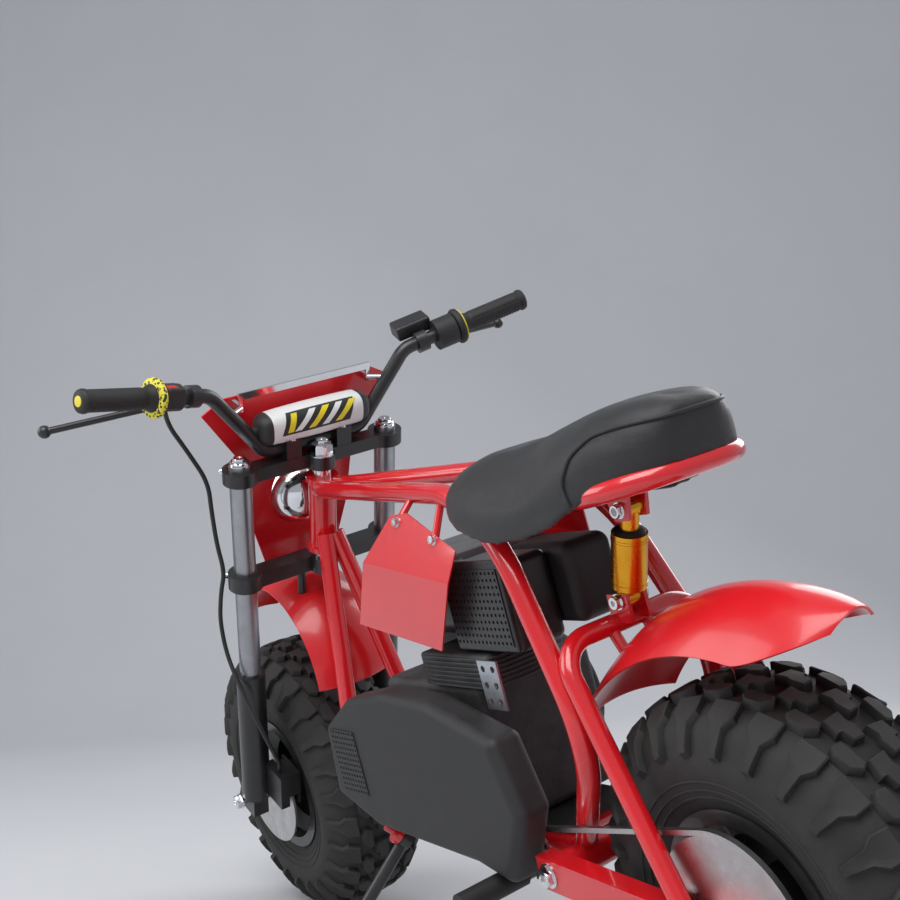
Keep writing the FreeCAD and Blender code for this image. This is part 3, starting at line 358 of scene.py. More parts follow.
def grid_faces(rows, columns, close_rows=False, close_columns=False):
    """Four-sided faces between neighbours on a grid of points, as one array of point numbers."""
    index = np.arange(rows * columns).reshape(rows, columns)
    if close_rows:
        index = np.concatenate((index, index[:1]), 0)
    if close_columns:
        index = np.concatenate((index, index[:, :1]), 1)
    return np.stack((index[:-1, :-1], index[1:, :-1], index[1:, 1:], index[:-1, 1:]), -1).reshape(-1, 4)


def outward(piece):
    """Turn all faces of a closed piece outwards."""
    mesh = bmesh.new()
    mesh.from_mesh(piece.data)
    bmesh.ops.remove_doubles(mesh, verts=mesh.verts, dist=1e-6)
    bmesh.ops.recalc_face_normals(mesh, faces=mesh.faces)
    mesh.to_mesh(piece.data)
    mesh.free()
    return piece


def sharpen(piece, degrees=35):
    """Keep edges that turn by more than an angle crisp, and shade the rest smooth."""
    piece.data.shade_smooth()
    with bpy.context.temp_override(object=piece, active_object=piece, selected_objects=[piece],
                                   selected_editable_objects=[piece]):
        bpy.ops.object.shade_smooth_by_angle(angle=math.radians(degrees))
    return piece


# %% [markdown]
# An off-road tyre has a bulging carcass and tall lugs. The carcass is a smooth closed ring: its half
# section is a few corners, rounded by averaging. Rows of lugs stand on it: forked ones in the middle
# and long ones that reach over the shoulder. They are worked out together, so a tyre is one piece.

# %% The tyres
CARCASS = np.array([(0.2300, 0.0), (0.2285, 0.030), (0.2240, 0.056), (0.2060, 0.0745), (0.1650, 0.0880),
                    (0.1300, 0.0800), (0.1168, 0.0696), (0.1045, 0.0696)])


def carcass_section(count=25):
    """Half section of the tyre: corners resampled evenly by length, then smoothed by a short average."""
    steps = np.concatenate(([0.0], np.cumsum(np.linalg.norm(np.diff(CARCASS, axis=0), axis=1))))
    at = np.linspace(0, steps[-1], count)
    half = np.stack([np.interp(at, steps, CARCASS[:, k]) for k in (0, 1)], 1)
    for _ in range(2):
        half[1:-2] = (half[:-3] + 2 * half[1:-2] + half[2:-1]) / 4
    return half


def spun(section, axle_place, turns):
    """Each (radius, side) of section carried round the axle: x = r cos a, z = r sin a, y = side."""
    radius = section[None, :, 0]
    angle = turns[:, None]
    points = np.stack((radius * np.cos(angle), np.repeat(section[None, :, 1], len(turns), 0),
                       radius * np.sin(angle)), -1)
    return points + np.array(axle_place)


def lugs(outline, height, pitches, phase, mirror):
    """Blocks round the tyre. outline gives (degrees along, y) corners; each block has a foot on the
    carcass, a shoulder just under its top, and a slightly smaller top closed by a point in its middle."""
    outline = np.array(outline, float)
    outline[:, 1] *= mirror
    middle = outline.mean(0)
    half = carcass_section()
    starts = phase + np.arange(pitches) * 360 / pitches
    layers = []
    for shrink, rise in ((1.06, -0.003), (1.0, height * 0.86), (0.9, height)):
        ring = middle + (outline - middle) * shrink
        base = np.interp(np.abs(ring[:, 1]), half[:16, 1], half[:16, 0])
        slope = np.clip((np.abs(ring[:, 1]) - 0.05) / 0.035, 0, 1)
        radius = base + rise * (1 - 0.45 * slope)
        side = ring[:, 1] + np.sign(ring[:, 1]) * rise * 0.75 * slope
        layers.append(np.stack((ring[:, 0], side, radius), 1))
    top = layers[-1].mean(0, keepdims=True)
    block = np.concatenate((*layers, top), 0)
    angle = np.radians(starts[:, None] + block[None, :, 0])
    radius = np.repeat(block[None, :, 2], pitches, 0)
    side = np.repeat(block[None, :, 1], pitches, 0)
    points = np.stack((radius * np.cos(angle), side, radius * np.sin(angle)), -1)
    n = len(outline)
    a = np.arange(n)
    b = (a + 1) % n
    walls = np.concatenate([np.stack((a + k * n, b + k * n, b + (k + 1) * n, a + (k + 1) * n), 1) for k in (0, 1)])
    caps = np.stack((a + 2 * n, b + 2 * n, np.full(n, 3 * n), np.full(n, 3 * n)), 1)
    one = np.concatenate((walls, caps))
    faces = (one[None] + (np.arange(pitches) * len(block))[:, None, None]).reshape(-1, 4)
    return points.reshape(-1, 3), faces


FORKED = [(-4.4, 0.004), (-1.2, 0.007), (0.6, 0.0035), (4.6, 0.006), (4.2, 0.020), (1.0, 0.0225), (0.8, 0.0285),
          (-4.0, 0.027)]
SLANTED = [(-4.2, 0.0335), (3.4, 0.031), (4.4, 0.0385), (2.2, 0.0485), (-2.6, 0.050), (-4.6, 0.044)]
SHOULDER = [(-4.0, 0.054), (4.2, 0.0525), (4.6, 0.066), (2.2, 0.0735), (1.6, 0.0835), (-1.6, 0.084), (-2.2, 0.0735),
            (-4.4, 0.067)]


def tyre(name, axle_place, body, node):
    """One tyre: the carcass ring, three rows of lugs on each side, and three fine ribs on each wall."""
    half = carcass_section()
    ring = np.concatenate((half[::-1], half[1:] * (1, -1)))
    turns = np.linspace(0, 2 * math.pi, 144, endpoint=False)
    points = [spun(ring, (0, 0, 0), turns).reshape(-1, 3)]
    faces = [grid_faces(144, len(ring), close_rows=True, close_columns=True)]
    total = len(points[0])
    for mirror in (1, -1):
        shift = 0 if mirror > 0 else 6.9
        for outline, height, phase in ((FORKED, 0.0108, 0), (SLANTED, 0.0115, 6.9), (SHOULDER, 0.0105, 0)):
            more, walls = lugs(outline, height, 26, phase + shift, mirror)
            points.append(more)
            faces.append(walls + total)
            total += len(more)
        for radius in (0.150, 0.140, 0.131):
            y = np.interp(radius, half[::-1, 0], half[::-1, 1])
            bead = np.linspace(0, 2 * math.pi, 8, endpoint=False)
            rib = np.stack((radius + 0.0016 * np.cos(bead), mirror * (y - 0.0002 + 0.0016 * np.sin(bead))), 1)
            points.append(spun(rib, (0, 0, 0), turns).reshape(-1, 3))
            faces.append(grid_faces(144, 8, close_rows=True, close_columns=True) + total)
            total += len(points[-1])
    whole = place(np.concatenate(points) + np.array(axle_place))
    walls = [tuple(dict.fromkeys(face)) for face in np.concatenate(faces).tolist()]
    piece = to_mesh(name, whole, walls, "tyre", body)
    sharpen(outward(piece), 40)
    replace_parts(piece, node)
    print(name, len(piece.data.polygons), "faces")
    return piece


tyre("rear_knobbly_tyre", REAR_AXLE, "rear_wheel", "rear_tyre")
tyre("front_knobbly_tyre", FRONT_AXLE, "front_wheel", "front_tyre")

# %% [markdown]
# A moulded fender is one thin curved sheet. Its crown and its edge are two curves round the axle, and
# an arc joins them at each angle. The solid in the frame is made of short flat runs, so this smooth sheet
# stands for it, with a rolled rim along its edge.

# %% The fenders
def fender_sheet(name, centre, degrees, crown, edge, half, node, body):
    """At each angle an arc: across from -half to half, and out from edge up to crown as 1 - (y / half)^2."""
    across = np.concatenate(([-1.0], -np.cos(np.linspace(0, math.pi, 33))[1:-1], [1.0]))
    angle = np.radians(degrees)[:, None]
    radius = edge[:, None] + (crown - edge)[:, None] * (1 - across[None] ** 2)
    y = half[:, None] * across[None]
    grid = np.stack((radius * np.cos(angle), y, radius * np.sin(angle)), -1) + np.array(centre)
    piece = to_mesh(name, place(grid).reshape(-1, 3), grid_faces(*grid.shape[:2]).tolist(), "red_plastic", body)
    wall = piece.modifiers.new("wall", "SOLIDIFY")
    wall.thickness = 0.003
    wall.offset = 1.0 if inward_faces(piece, lean @ Vector(centre)) else -1.0
    bevel = piece.modifiers.new("rim", "BEVEL")
    bevel.width = 0.0012
    bevel.segments = 2
    bevel.limit_method = "ANGLE"
    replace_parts(piece, node)
    return piece


def inward_faces(piece, centre):
    """Whether the piece's faces look towards centre."""
    face = piece.data.polygons[len(piece.data.polygons) // 2]
    return face.normal.dot(Vector(face.center) - centre) < 0


front = np.linspace(30, 190, 97)
fold = np.clip((65 - front) / 40, 0, 1)
fender_sheet("front_fender_sheet", (0.48, 0, 0.45), front, 0.170 + 0.024 * fold ** 2, 0.150 + 0.040 * fold ** 2,
             0.068 * np.sqrt(1 - fold ** 2), "front_fender", "fork")
back = np.linspace(42, 119, 81)
fold = np.clip((back - 103) / 17.5, 0, 1)
fender_sheet("rear_fender_sheet", REAR_AXLE, back, 0.335 + 0.00075 * (back - 90), 0.283 + 0.062 * fold ** 1.5,
             0.078 * np.sqrt(1 - fold ** 2), "rear_fender", "frame")

# %% [markdown]
# The seat is a foam block under one tight vinyl cover, low in front with a hump behind, and a skirt that
# hangs outside the rails. Its plan is a squarish ellipse. At each place round that plan a profile climbs
# from the skirt, over a rounded shoulder, to the middle line, and another closes the underside. Cloth under
# slight pressure then rounds it as stuffing would, and the seam's piping goes on last.

# %% The seat
SEAT_X = np.array((-0.205, -0.240, -0.280, -0.340, -0.400, -0.460, -0.510, -0.555, -0.585, -0.610))
SEAT_TOP = np.array((0.736, 0.746, 0.749, 0.750, 0.757, 0.769, 0.779, 0.783, 0.783, 0.781))
SEAT_HEM = np.array((0.706, 0.690, 0.676, 0.660, 0.660, 0.672, 0.694, 0.707, 0.712, 0.714))
SEAT_HALF = np.array((0.120, 0.123, 0.123, 0.120, 0.117, 0.116, 0.110, 0.101, 0.092, 0.086))


def eased(x, values):
    """values at the seat's stations, read at x from a curve rounded by a short running average."""
    dense = np.linspace(-0.205, -0.610, 163)
    curve = np.interp(-dense, -SEAT_X, values)
    window = np.hanning(15)
    padded = np.pad(curve, 7, mode="edge")
    curve = np.convolve(padded, window / window.sum(), mode="valid")
    return np.interp(-np.asarray(x, float), -dense, curve)


def seat_surface(around, climb):
    """around: angle round the plan. climb: 0 at the hem, 0.5 at the shoulder, 1 at the middle line.
    Plan: x = a |cos|^(2/n), y = b |sin|^(2/n), n = 3.7. The top falls towards the shoulder as rho^5."""
    cos, sin = np.cos(around), np.sin(around)
    flat_x = -0.406 + 0.196 * np.sign(cos) * np.abs(cos) ** 0.54
    flat_y = np.sign(sin) * np.abs(sin) ** 0.54
    hem = np.clip(climb * 2, 0, 1)
    inner = np.clip(climb * 2 - 1, 0, 1)
    half = eased(flat_x, SEAT_HALF) * (1 - 0.22 * hem ** 4)
    x = flat_x + np.where(flat_x < -0.5, -0.008, 0.004) * hem * np.abs(cos) ** 2
    spine = np.clip(flat_x, -0.550, -0.275)
    rho = 1 - inner
    x = spine + (x - spine) * rho
    y = flat_y * half * rho
    top = eased(x, SEAT_TOP) + 0.003 - 0.014 * rho ** 5
    low = eased(flat_x, SEAT_HEM)
    z = np.where(climb < 0.5, low + (top - low) * hem, top)
    return np.stack((x, y, z), -1)


def seat_form():
    """The closed form: the upper surface, and an underside that leaves room for the rails."""
    around = np.linspace(0, 2 * math.pi, 120, endpoint=False)
    climb = np.concatenate((np.linspace(0, 0.5, 14), np.linspace(0.5, 1, 12)[1:]))
    upper = seat_surface(around[:, None], climb[None, :])
    hem = upper[:, 0]
    spine = upper[:, -1]
    lip = hem + (spine - hem) * (0.085, 0.085, 0) + np.array((0, 0, 0.001))
    roof = lip.copy()
    roof[:, 2] = np.maximum(lip[:, 2] + 0.004, 0.7155)
    middle = spine.copy()
    middle[:, 2] = 0.722
    return np.concatenate((middle[:, None], roof[:, None], lip[:, None], upper), 1)


def inflate(piece, pressure, cap):
    """Remesh the piece, let cloth under pressure settle for 20 frames, and keep each point within cap."""
    remesh = piece.modifiers.new("even", "REMESH")
    remesh.mode = "VOXEL"
    remesh.voxel_size = 0.005
    settle(piece)
    rest = np.empty(len(piece.data.vertices) * 3)
    piece.data.vertices.foreach_get("co", rest)
    rest = rest.reshape(-1, 3)
    upright = (rest - np.array(lean)[:3, 3]) @ np.array(lean)[:3, :3]
    held = piece.vertex_groups.new(name="held")
    held.add(np.nonzero(upright[:, 2] < eased(upright[:, 0], SEAT_HEM) + 0.006)[0].tolist(), 1.0, "REPLACE")
    cloth = piece.modifiers.new("stuffing", "CLOTH")
    cloth.settings.use_pressure = True
    cloth.settings.uniform_pressure_force = pressure
    cloth.settings.vertex_group_mass = "held"
    cloth.settings.effector_weights.gravity = 0
    for number in range(1, 21):
        bpy.context.scene.frame_set(number)
    settle(piece)
    bpy.context.scene.frame_set(1)
    moved = np.empty(len(piece.data.vertices) * 3)
    piece.data.vertices.foreach_get("co", moved)
    step = moved.reshape(-1, 3) - rest
    length = np.linalg.norm(step, axis=1, keepdims=True)
    step *= np.minimum(1, cap / np.maximum(length, 1e-9))
    piece.data.vertices.foreach_set("co", (rest + step).ravel())
    piece.data.update()
    print(piece.name, "swelled by up to", round(float(length.max()), 4))


def settle(piece):
    """Replace the piece's mesh by what its modifiers make of it, and drop them."""
    seen = bpy.context.evaluated_depsgraph_get()
    made = bpy.data.meshes.new_from_object(piece.evaluated_get(seen))
    piece.modifiers.clear()
    old = piece.data
    piece.data = made
    made.name = piece.name
    bpy.data.meshes.remove(old)


form = seat_form()
seat = to_mesh("seat_cover", place(form).reshape(-1, 3),
               grid_faces(*form.shape[:2], close_rows=True).tolist(), "black_vinyl", "frame")
outward(seat)
inflate(seat, 3.0, 0.006)
soften = seat.modifiers.new("soften", "SMOOTH")
soften.iterations = 8
soften.factor = 0.5
finer = seat.modifiers.new("finer", "SUBSURF")
finer.levels = finer.render_levels = 1
settle(seat)
seat.data.shade_smooth()
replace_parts(seat, "seat")


# %% [markdown]
# A seam is covered by piping, a thin cord in the same vinyl. It runs up the side and along the hump's
# shoulder. The line is drawn on the seat's own surface, drawn onto the swelled cover, and given a tube.

# %% Tubes along a line, and the piping
def tube_along(line, radius, sides=10, closed=False):
    """Rings of radius round a line of points. Each ring's axes come from the tangent and one fixed
    direction made square to it, which turns little along a gentle line."""
    tangent = np.gradient(line, axis=0)
    tangent /= np.linalg.norm(tangent, axis=1, keepdims=True)
    guide = np.array((0.31, 0.22, 0.93))
    first = np.cross(tangent, guide)
    first /= np.linalg.norm(first, axis=1, keepdims=True)
    second = np.cross(tangent, first)
    angle = np.linspace(0, 2 * math.pi, sides, endpoint=False)
    width = np.broadcast_to(np.asarray(radius, float), (len(line),))[:, None, None]
    return (line[:, None] + width * (first[:, None] * np.cos(angle)[None, :, None]
                                     + second[:, None] * np.sin(angle)[None, :, None]))


def tube_piece(name, line, radius, finish_name, body, sides=10):
    """A closed round cord along a line of points that is already in place."""
    rings = tube_along(line, radius, sides)
    faces = grid_faces(len(line), sides, close_columns=True).tolist()
    last = (len(line) - 1) * sides
    faces += [list(range(sides)), list(range(last, last + sides))]
    return outward(to_mesh(name, rings.reshape(-1, 3), faces, finish_name, body))


def onto(piece, line, lift):
    """Each point of a line moved to the piece's nearest point, and lifted off it."""
    moved = []
    for point in line:
        _, near, normal, _ = piece.closest_point_on_mesh(Vector(point))
        moved.append(near + normal * lift)
    return np.array(moved)


def piping_line():
    """Angle and climb along the seam, for the left half: up the side, then back along the shoulder."""
    along = np.linspace(0, 1, 90)
    around = np.interp(along, (0, 0.12, 0.26, 0.4, 1), (1.83, 1.80, 1.86, 2.02, math.pi))
    climb = np.interp(along, (0, 0.12, 0.26, 0.4, 1), (0.02, 0.2, 0.36, 0.46, 0.47))
    window = np.hanning(13) / np.hanning(13).sum()
    around = np.convolve(np.pad(around, 6, mode="edge"), window, mode="valid")
    climb = np.convolve(np.pad(climb, 6, mode="edge"), window, mode="valid")
    return around, climb


around, climb = piping_line()
left = seat_surface(around, climb)
seam = np.concatenate((left, (left * (1, -1, 1))[::-1][1:]))
tube_piece("seat_piping", onto(seat, place(seam), 0.0008), 0.0024, "black_vinyl", "frame")

# %% [markdown]
# The pad on the crossbar is foam in a laced vinyl sleeve. Its section is a soft square, its ends are
# closed by dark caps, and a printed panel in plain slanted bands lies on the side that faces the rider.

# %% The bar pad
PAD_MIDDLE = np.array((0.0265, 0.0, 0.090))


def pad_points(along, angle, lift=0.0):
    """Section r = R / (|cos|^n + |sin|^n)^(1/n) with n = 2.8 round the crossbar. R swells a little in the
    middle and closes at the ends as (1 - (y / L)^12)^(1/3)."""
    along, angle = np.broadcast_arrays(along, angle)
    cos, sin = np.cos(angle), np.sin(angle)
    square = (np.abs(cos) ** 2.8 + np.abs(sin) ** 2.8) ** (-1 / 2.8)
    ends = np.clip(1 - np.abs(along / 0.0985) ** 12, 0, 1) ** 0.33
    radius = (0.0252 + 0.0008 * np.cos(along * 26)) * square * ends + lift
    return np.stack((radius * cos, along, radius * sin), -1) + PAD_MIDDLE


def pad_piece(name, low, high, finish_name, count):
    """A length of the sleeve from low to high along the bar."""
    along = np.linspace(low, high, count)
    angle = np.linspace(0, 2 * math.pi, 64, endpoint=False)
    grid = pad_points(along[:, None], angle[None])
    faces = grid_faces(count, 64, close_columns=True).tolist()
    faces += [list(range(64)), list(range((count - 1) * 64, count * 64))]
    piece = outward(to_mesh(name, place(grid, STEER).reshape(-1, 3), faces, finish_name, "fork"))
    return sharpen(piece, 50)


def pad_band(name, low, high, start, end, slant, lift, finish_name):
    """A thin patch on the sleeve: from low to high along it, from start to end round it, leaning by slant."""
    share = np.linspace(0, 1, 13)
    angle = np.radians(start + (end - start) * share)
    along = np.linspace(low, high, 25)
    grid = pad_points(along[:, None] + slant * (share[None] - 0.5), angle[None], lift)
    under = pad_points(along[:, None] + slant * (share[None] - 0.5), angle[None], -0.001)
    points = np.concatenate((grid.reshape(-1, 3), under.reshape(-1, 3)))
    faces = grid_faces(25, 13)
    rim = np.concatenate((np.arange(13), np.arange(1, 25) * 13 + 12, 24 * 13 + np.arange(11, -1, -1),
                          np.arange(23, 0, -1) * 13))
    after = np.roll(rim, -1)
    walls = np.stack((rim, after, after + 325, rim + 325), 1)
    whole = np.concatenate((faces, faces[:, ::-1] + 325, walls)).tolist()
    return sharpen(outward(to_mesh(name, place(points, STEER), whole, finish_name, "fork")), 40)


FINISH["yellow_print"] = finish("yellow_print", (0.83, 0.68, 0.02), (0.78, 0.62, 0.02), (0.35, 0.45), 40)
FINISH["white_print"] = finish("white_print", (0.82, 0.82, 0.8), (0.76, 0.76, 0.75), (0.35, 0.45), 40)
sleeve = pad_piece("pad_sleeve", -0.0800, 0.0800, "white_vinyl", 60)
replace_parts(sleeve, "bar_pad")
for label, low, high in (("left", 0.0795, 0.0985), ("right", -0.0985, -0.0795)):
    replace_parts(pad_piece("pad_cap_" + label, low, high, "black_vinyl", 24), "bar_pad")
pad_band("pad_panel", -0.060, 0.060, 118, 196, 0.012, 0.0005, "black_vinyl")
for number, low in enumerate((-0.054, -0.030, -0.006, 0.018)):
    pad_band(f"pad_stripe_{number}", low, low + 0.012, 126, 188, 0.030, 0.0009,
             "yellow_print" if number % 2 == 0 else "white_print")
pad_band("pad_line", 0.042, 0.052, 126, 188, 0.010, 0.0009, "yellow_print")

# %% [markdown]
# Grips are moulded rubber with a rib pattern that keeps a glove from slipping, a thick collar where the
# thumb rests, and a closed end. Each is a profile turned round the bar, with ribs as ripples in its radius.

# %% The grips and their collars
GRIP_END = np.array((-0.0127, 0.3775, 0.223))
BEND = np.array((0.0265, 0.172, 0.167))
INWARD = (BEND - GRIP_END) / np.linalg.norm(BEND - GRIP_END)


def frame_round(direction):
    """Two unit directions square to a direction and to each other."""
    first = np.cross(direction, (0, 0, 1))
    first /= np.linalg.norm(first)
    return first, np.cross(direction, first)


def turned(name, start, direction, profile, finish_name, body, sides=64, matrix=STEER, ripple=None):
    """A profile of (distance along, radius) turned round a line. ripple(along, angle) adds to the radius."""
    profile = np.asarray(profile, float)
    first, second = frame_round(direction)
    angle = np.linspace(0, 2 * math.pi, sides, endpoint=False)
    along = profile[:, :1]
    radius = np.repeat(profile[:, 1:], sides, 1)
    if ripple is not None:
        radius = radius + ripple(np.repeat(along, sides, 1), angle[None])
    points = (start + along[..., None] * direction + radius[..., None]
              * (first * np.cos(angle)[:, None] + second * np.sin(angle)[:, None])[None])
    faces = grid_faces(len(profile), sides, close_columns=True).tolist()
    last = (len(profile) - 1) * sides
    faces += [list(range(sides)), list(range(last, last + sides))]
    return sharpen(outward(to_mesh(name, place(points, matrix).reshape(-1, 3), faces, finish_name, body)), 45)


def mirror_y(vector, side):
    """A vector for the left side, or its mirror for the right."""
    return np.array(vector) * (1, side, 1)


def waffle(along, angle):
    """Low ribs round the grip and along it, fading at both ends."""
    band = np.clip(np.minimum(along - 0.008, 0.098 - along) / 0.004, 0, 1)
    panel = np.abs(np.sin(angle * 0.5 + 0.6)) < 0.6
    around = 0.5 + 0.5 * np.tanh(4 * np.sin(along * 2 * math.pi / 0.0052))
    across = 0.5 + 0.5 * np.tanh(4 * np.sin(angle * 22))
    return band * np.where(panel, 0.0007, 0.0009 * around * across - 0.0001)


GRIP = [(-0.0050, 0.006), (-0.0046, 0.0125), (-0.0025, 0.0162), (0.0015, 0.0175), (0.0050, 0.0172),
        (0.0062, 0.0156)]
GRIP += [(along, 0.0154) for along in np.linspace(0.0080, 0.1000, 144)]
GRIP += [(0.1030, 0.0162), (0.1080, 0.0186), (0.1125, 0.0205)]
COLLAR = [(0.1126, 0.0180), (0.1130, 0.0268), (0.1150, 0.0288), (0.1180, 0.0294), (0.1212, 0.0290),
          (0.1236, 0.0268), (0.1240, 0.0180)]
for side, label in ((1, "left"), (-1, "right")):
    inward = mirror_y(INWARD, side)
    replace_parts(turned("grip_" + label, mirror_y(GRIP_END, side), inward, GRIP, "rubber", "fork", 96,
                       ripple=waffle), "grips")
    collar = turned("collar_" + label, mirror_y(GRIP_END, side), inward, COLLAR,
                    "speckled_rubber" if side > 0 else "rubber", "fork", 72)
    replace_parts(collar, "grip_flanges")
    turned("grip_plug_" + label, mirror_y(GRIP_END, side), inward,
           [(-0.0058, 0.004), (-0.0056, 0.0075), (-0.0046, 0.0080)], "yellow_print", "fork", 40)
turned("collar_edge_right", mirror_y(GRIP_END, -1), mirror_y(INWARD, -1),
       [(0.1108, 0.0190), (0.1110, 0.0262), (0.1122, 0.0268), (0.1129, 0.0262)], "yellow_print", "fork", 72)

# %% [markdown]
# Bolts, nuts and caps are what tell the eye that parts are fixed and not just touching. A head is a six
# sided prism with a chamfer on a thin washer, or a low dome with a socket. All on one body are one piece.

# %% Bolts, nuts and caps
def head(at, axis, across, height, sides=6, washer=1.0):
    """A bolt head as rings round an axis: washer foot and top, wall, chamfer, flat top, socket.
    Gives points, walls and caps."""
    axis = np.asarray(axis, float) / np.linalg.norm(axis)
    first, second = frame_round(axis if abs(axis[2]) < 0.95 else axis + (0.02, 0, 0))
    count = 24
    angle = np.linspace(0, 2 * math.pi, count, endpoint=False)
    if sides:
        flat = np.cos(math.pi / sides) / np.cos((angle + math.pi / sides) % (2 * math.pi / sides) - math.pi / sides)
    else:
        flat = np.ones(count)
    radius = across / 2
    rings = [(0.0, radius * 1.28, 0), (washer * 0.0012, radius * 1.28, 0), (washer * 0.0012, radius * 1.10, 1),
             (height * 0.82, radius * 1.10, 1), (height, radius * 0.96, 0), (height, radius * 0.45, 0),
             (height * 0.75, radius * 0.40, 0), (height * 0.72, radius * 0.02, 0)]
    points = []
    for along, size, faceted in rings:
        spread = size * (flat if faceted else 1.0)
        points.append(np.asarray(at) + axis * along + (spread * np.cos(angle))[:, None] * first
                      + (spread * np.sin(angle))[:, None] * second)
    points = np.concatenate(points)
    caps = np.stack((np.arange(count), np.arange(count) + (len(rings) - 1) * count))
    return points, grid_faces(len(rings), count, close_columns=True), caps


def hardware(name, heads, finish_name, body, matrix=Matrix.Identity(4)):
    """One piece from many heads."""
    points, faces, total = [], [], 0
    for entry in heads:
        more, walls, caps = head(*entry)
        points.append(more)
        faces += (walls + total).tolist() + (caps + total).tolist()
        total += len(more)
    return sharpen(outward(to_mesh(name, place(np.concatenate(points), matrix), faces, finish_name, body)), 30)


UP = (0, 0, 1)
fork_heads = [((0, 0, 0.0382), UP, 0.0326, 0.018), ((0, 0, 0.056), UP, 0.018, 0.006)]
for side in (1, -1):
    y = side * 0.1315
    fork_heads += [((0.021, y, 0.0458), UP, 0.027, 0.006, 0), ((0.021, y, 0.0512), UP, 0.019, 0.006)]
    for up in (0.027, -0.159):
        fork_heads.append(((0.0435, side * 0.1478, up), (0.8, side * 0.6, 0), 0.010, 0.006, 0))
    for forward in (0.0095, 0.0435):
        fork_heads.append(((forward, side * 0.045, 0.0688), UP, 0.009, 0.006, 0))
    fork_heads.append(((0.037, side * 0.1553, -0.611), (0, side, 0), 0.022, 0.010))
hardware("fork_fasteners", fork_heads, "chrome", "fork", STEER)
FOLD = np.array(((-0.024, 0.116, 0.647), (-0.227, 0.116, 0.615)))
PANEL_NORMAL = np.cross(FOLD[1] - FOLD[0], (-0.080, 0.094 - 0.116, 0.704 - 0.647))
PANEL_NORMAL *= np.sign(PANEL_NORMAL[1]) / np.linalg.norm(PANEL_NORMAL)


def panel_at(x, z):
    """The outer face of the left side panel: the point of its plane at that length and height."""
    rest = (x - FOLD[0, 0]) * PANEL_NORMAL[0] + (z - FOLD[0, 2]) * PANEL_NORMAL[2]
    return np.array((x, FOLD[0, 1] - rest / PANEL_NORMAL[1], z))


frame_heads = []
for side in (1, -1):
    frame_heads += [((-0.462, side * 0.016, 0.668), (0, side, 0), 0.015, 0.008),
                    ((-0.420, side * 0.017, 0.562), (0, side, 0), 0.015, 0.008),
                    ((-0.312, side * 0.1342, 0.262), (0, side, 0), 0.024, 0.010),
                    ((-0.5775, side * 0.136, 0.241), (0, side, 0), 0.026, 0.012)]
    for x, z in ((-0.110, 0.694), (-0.196, 0.668)):
        frame_heads.append((mirror_y(panel_at(x, z), side), mirror_y(PANEL_NORMAL, side), 0.011, 0.006))
hardware("frame_fasteners", frame_heads, "chrome", "frame")

# %% [markdown]
# Hot and moving parts hide behind pressed sheet with rows of holes. Each cell of such a sheet is a square
# round an eight sided hole, front and back, with a wall in the hole, and the cells meet edge to edge.

# %% The perforated sheets
def perforated(name, corner, right, up, columns, rows, pitch, hole, thick, finish_name):
    """Cell corners at (i, j) pitch. Round each centre an outer ring on the square and an inner ring of radius
    hole / 2, both at eight angles, front and back; the sheet's thickness is along right x up."""
    right, up = (np.asarray(v, float) / np.linalg.norm(v) for v in (right, up))
    out = np.cross(right, up)
    angle = np.arange(8) * math.pi / 4 + math.pi / 4
    ring = np.stack((np.cos(angle), np.sin(angle)), 1)
    square = ring / np.abs(ring).max(1, keepdims=True) * pitch / 2
    flat = np.concatenate((square, ring * hole / 2))
    cell = np.concatenate((np.c_[flat, np.full(16, thick)], np.c_[flat, np.zeros(16)]))
    i, j = np.meshgrid(np.arange(columns) + 0.5, np.arange(rows) + 0.5, indexing="ij")
    centres = np.stack((i.ravel() * pitch, j.ravel() * pitch, np.zeros(i.size)), 1)
    local = centres[:, None] + cell[None]
    points = (np.asarray(corner) + local @ np.stack((right, up, out))).reshape(-1, 3)
    a = np.arange(8)
    b = (a + 1) % 8
    one = np.concatenate((np.stack((a, b, b + 8, a + 8), 1), np.stack((b + 16, a + 16, a + 24, b + 24), 1),
                          np.stack((a + 8, b + 8, b + 24, a + 24), 1)))
    faces = (one[None] + (np.arange(i.size) * 32)[:, None, None]).reshape(-1, 4)
    sides = centres[:, None, :2] + (square + square[b]) / 2
    beside = np.minimum(sides, np.array((columns, rows)) * pitch - sides).min(-1) < 1e-5
    cell_number, k = np.nonzero(beside)
    start = cell_number * 32
    edge = np.stack((start + k, start + k + 16, start + b[k] + 16, start + b[k]), 1)
    whole = np.concatenate((faces, edge)).tolist()
    piece = outward(to_mesh(name, place(points), whole, finish_name, "frame"))
    piece.data.shade_flat()
    return piece


perforated("silencer_guard", (-0.1755, 0.0903, 0.528), (-1, 0, 0), (0, 0, 1), 14, 11, 0.0088, 0.0046, 0.0012,
           "black_metal")
perforated("cover_guard", (0.130, 0.1573, 0.320), (-1, 0, 0), (0, 0, 1), 9, 12, 0.0078, 0.0042, 0.0012,
           "black_plastic")
perforated("zinc_bracket", (-0.218, 0.0962, 0.448), (-1, 0, 0), (0, 0, 1), 2, 3, 0.021, 0.009, 0.003, "zinc")

# %% [markdown]
# The cylinder sheds its heat through thin fins. Each is a soft rectangle, a little larger than the block
# inside it, and all of them are one piece.

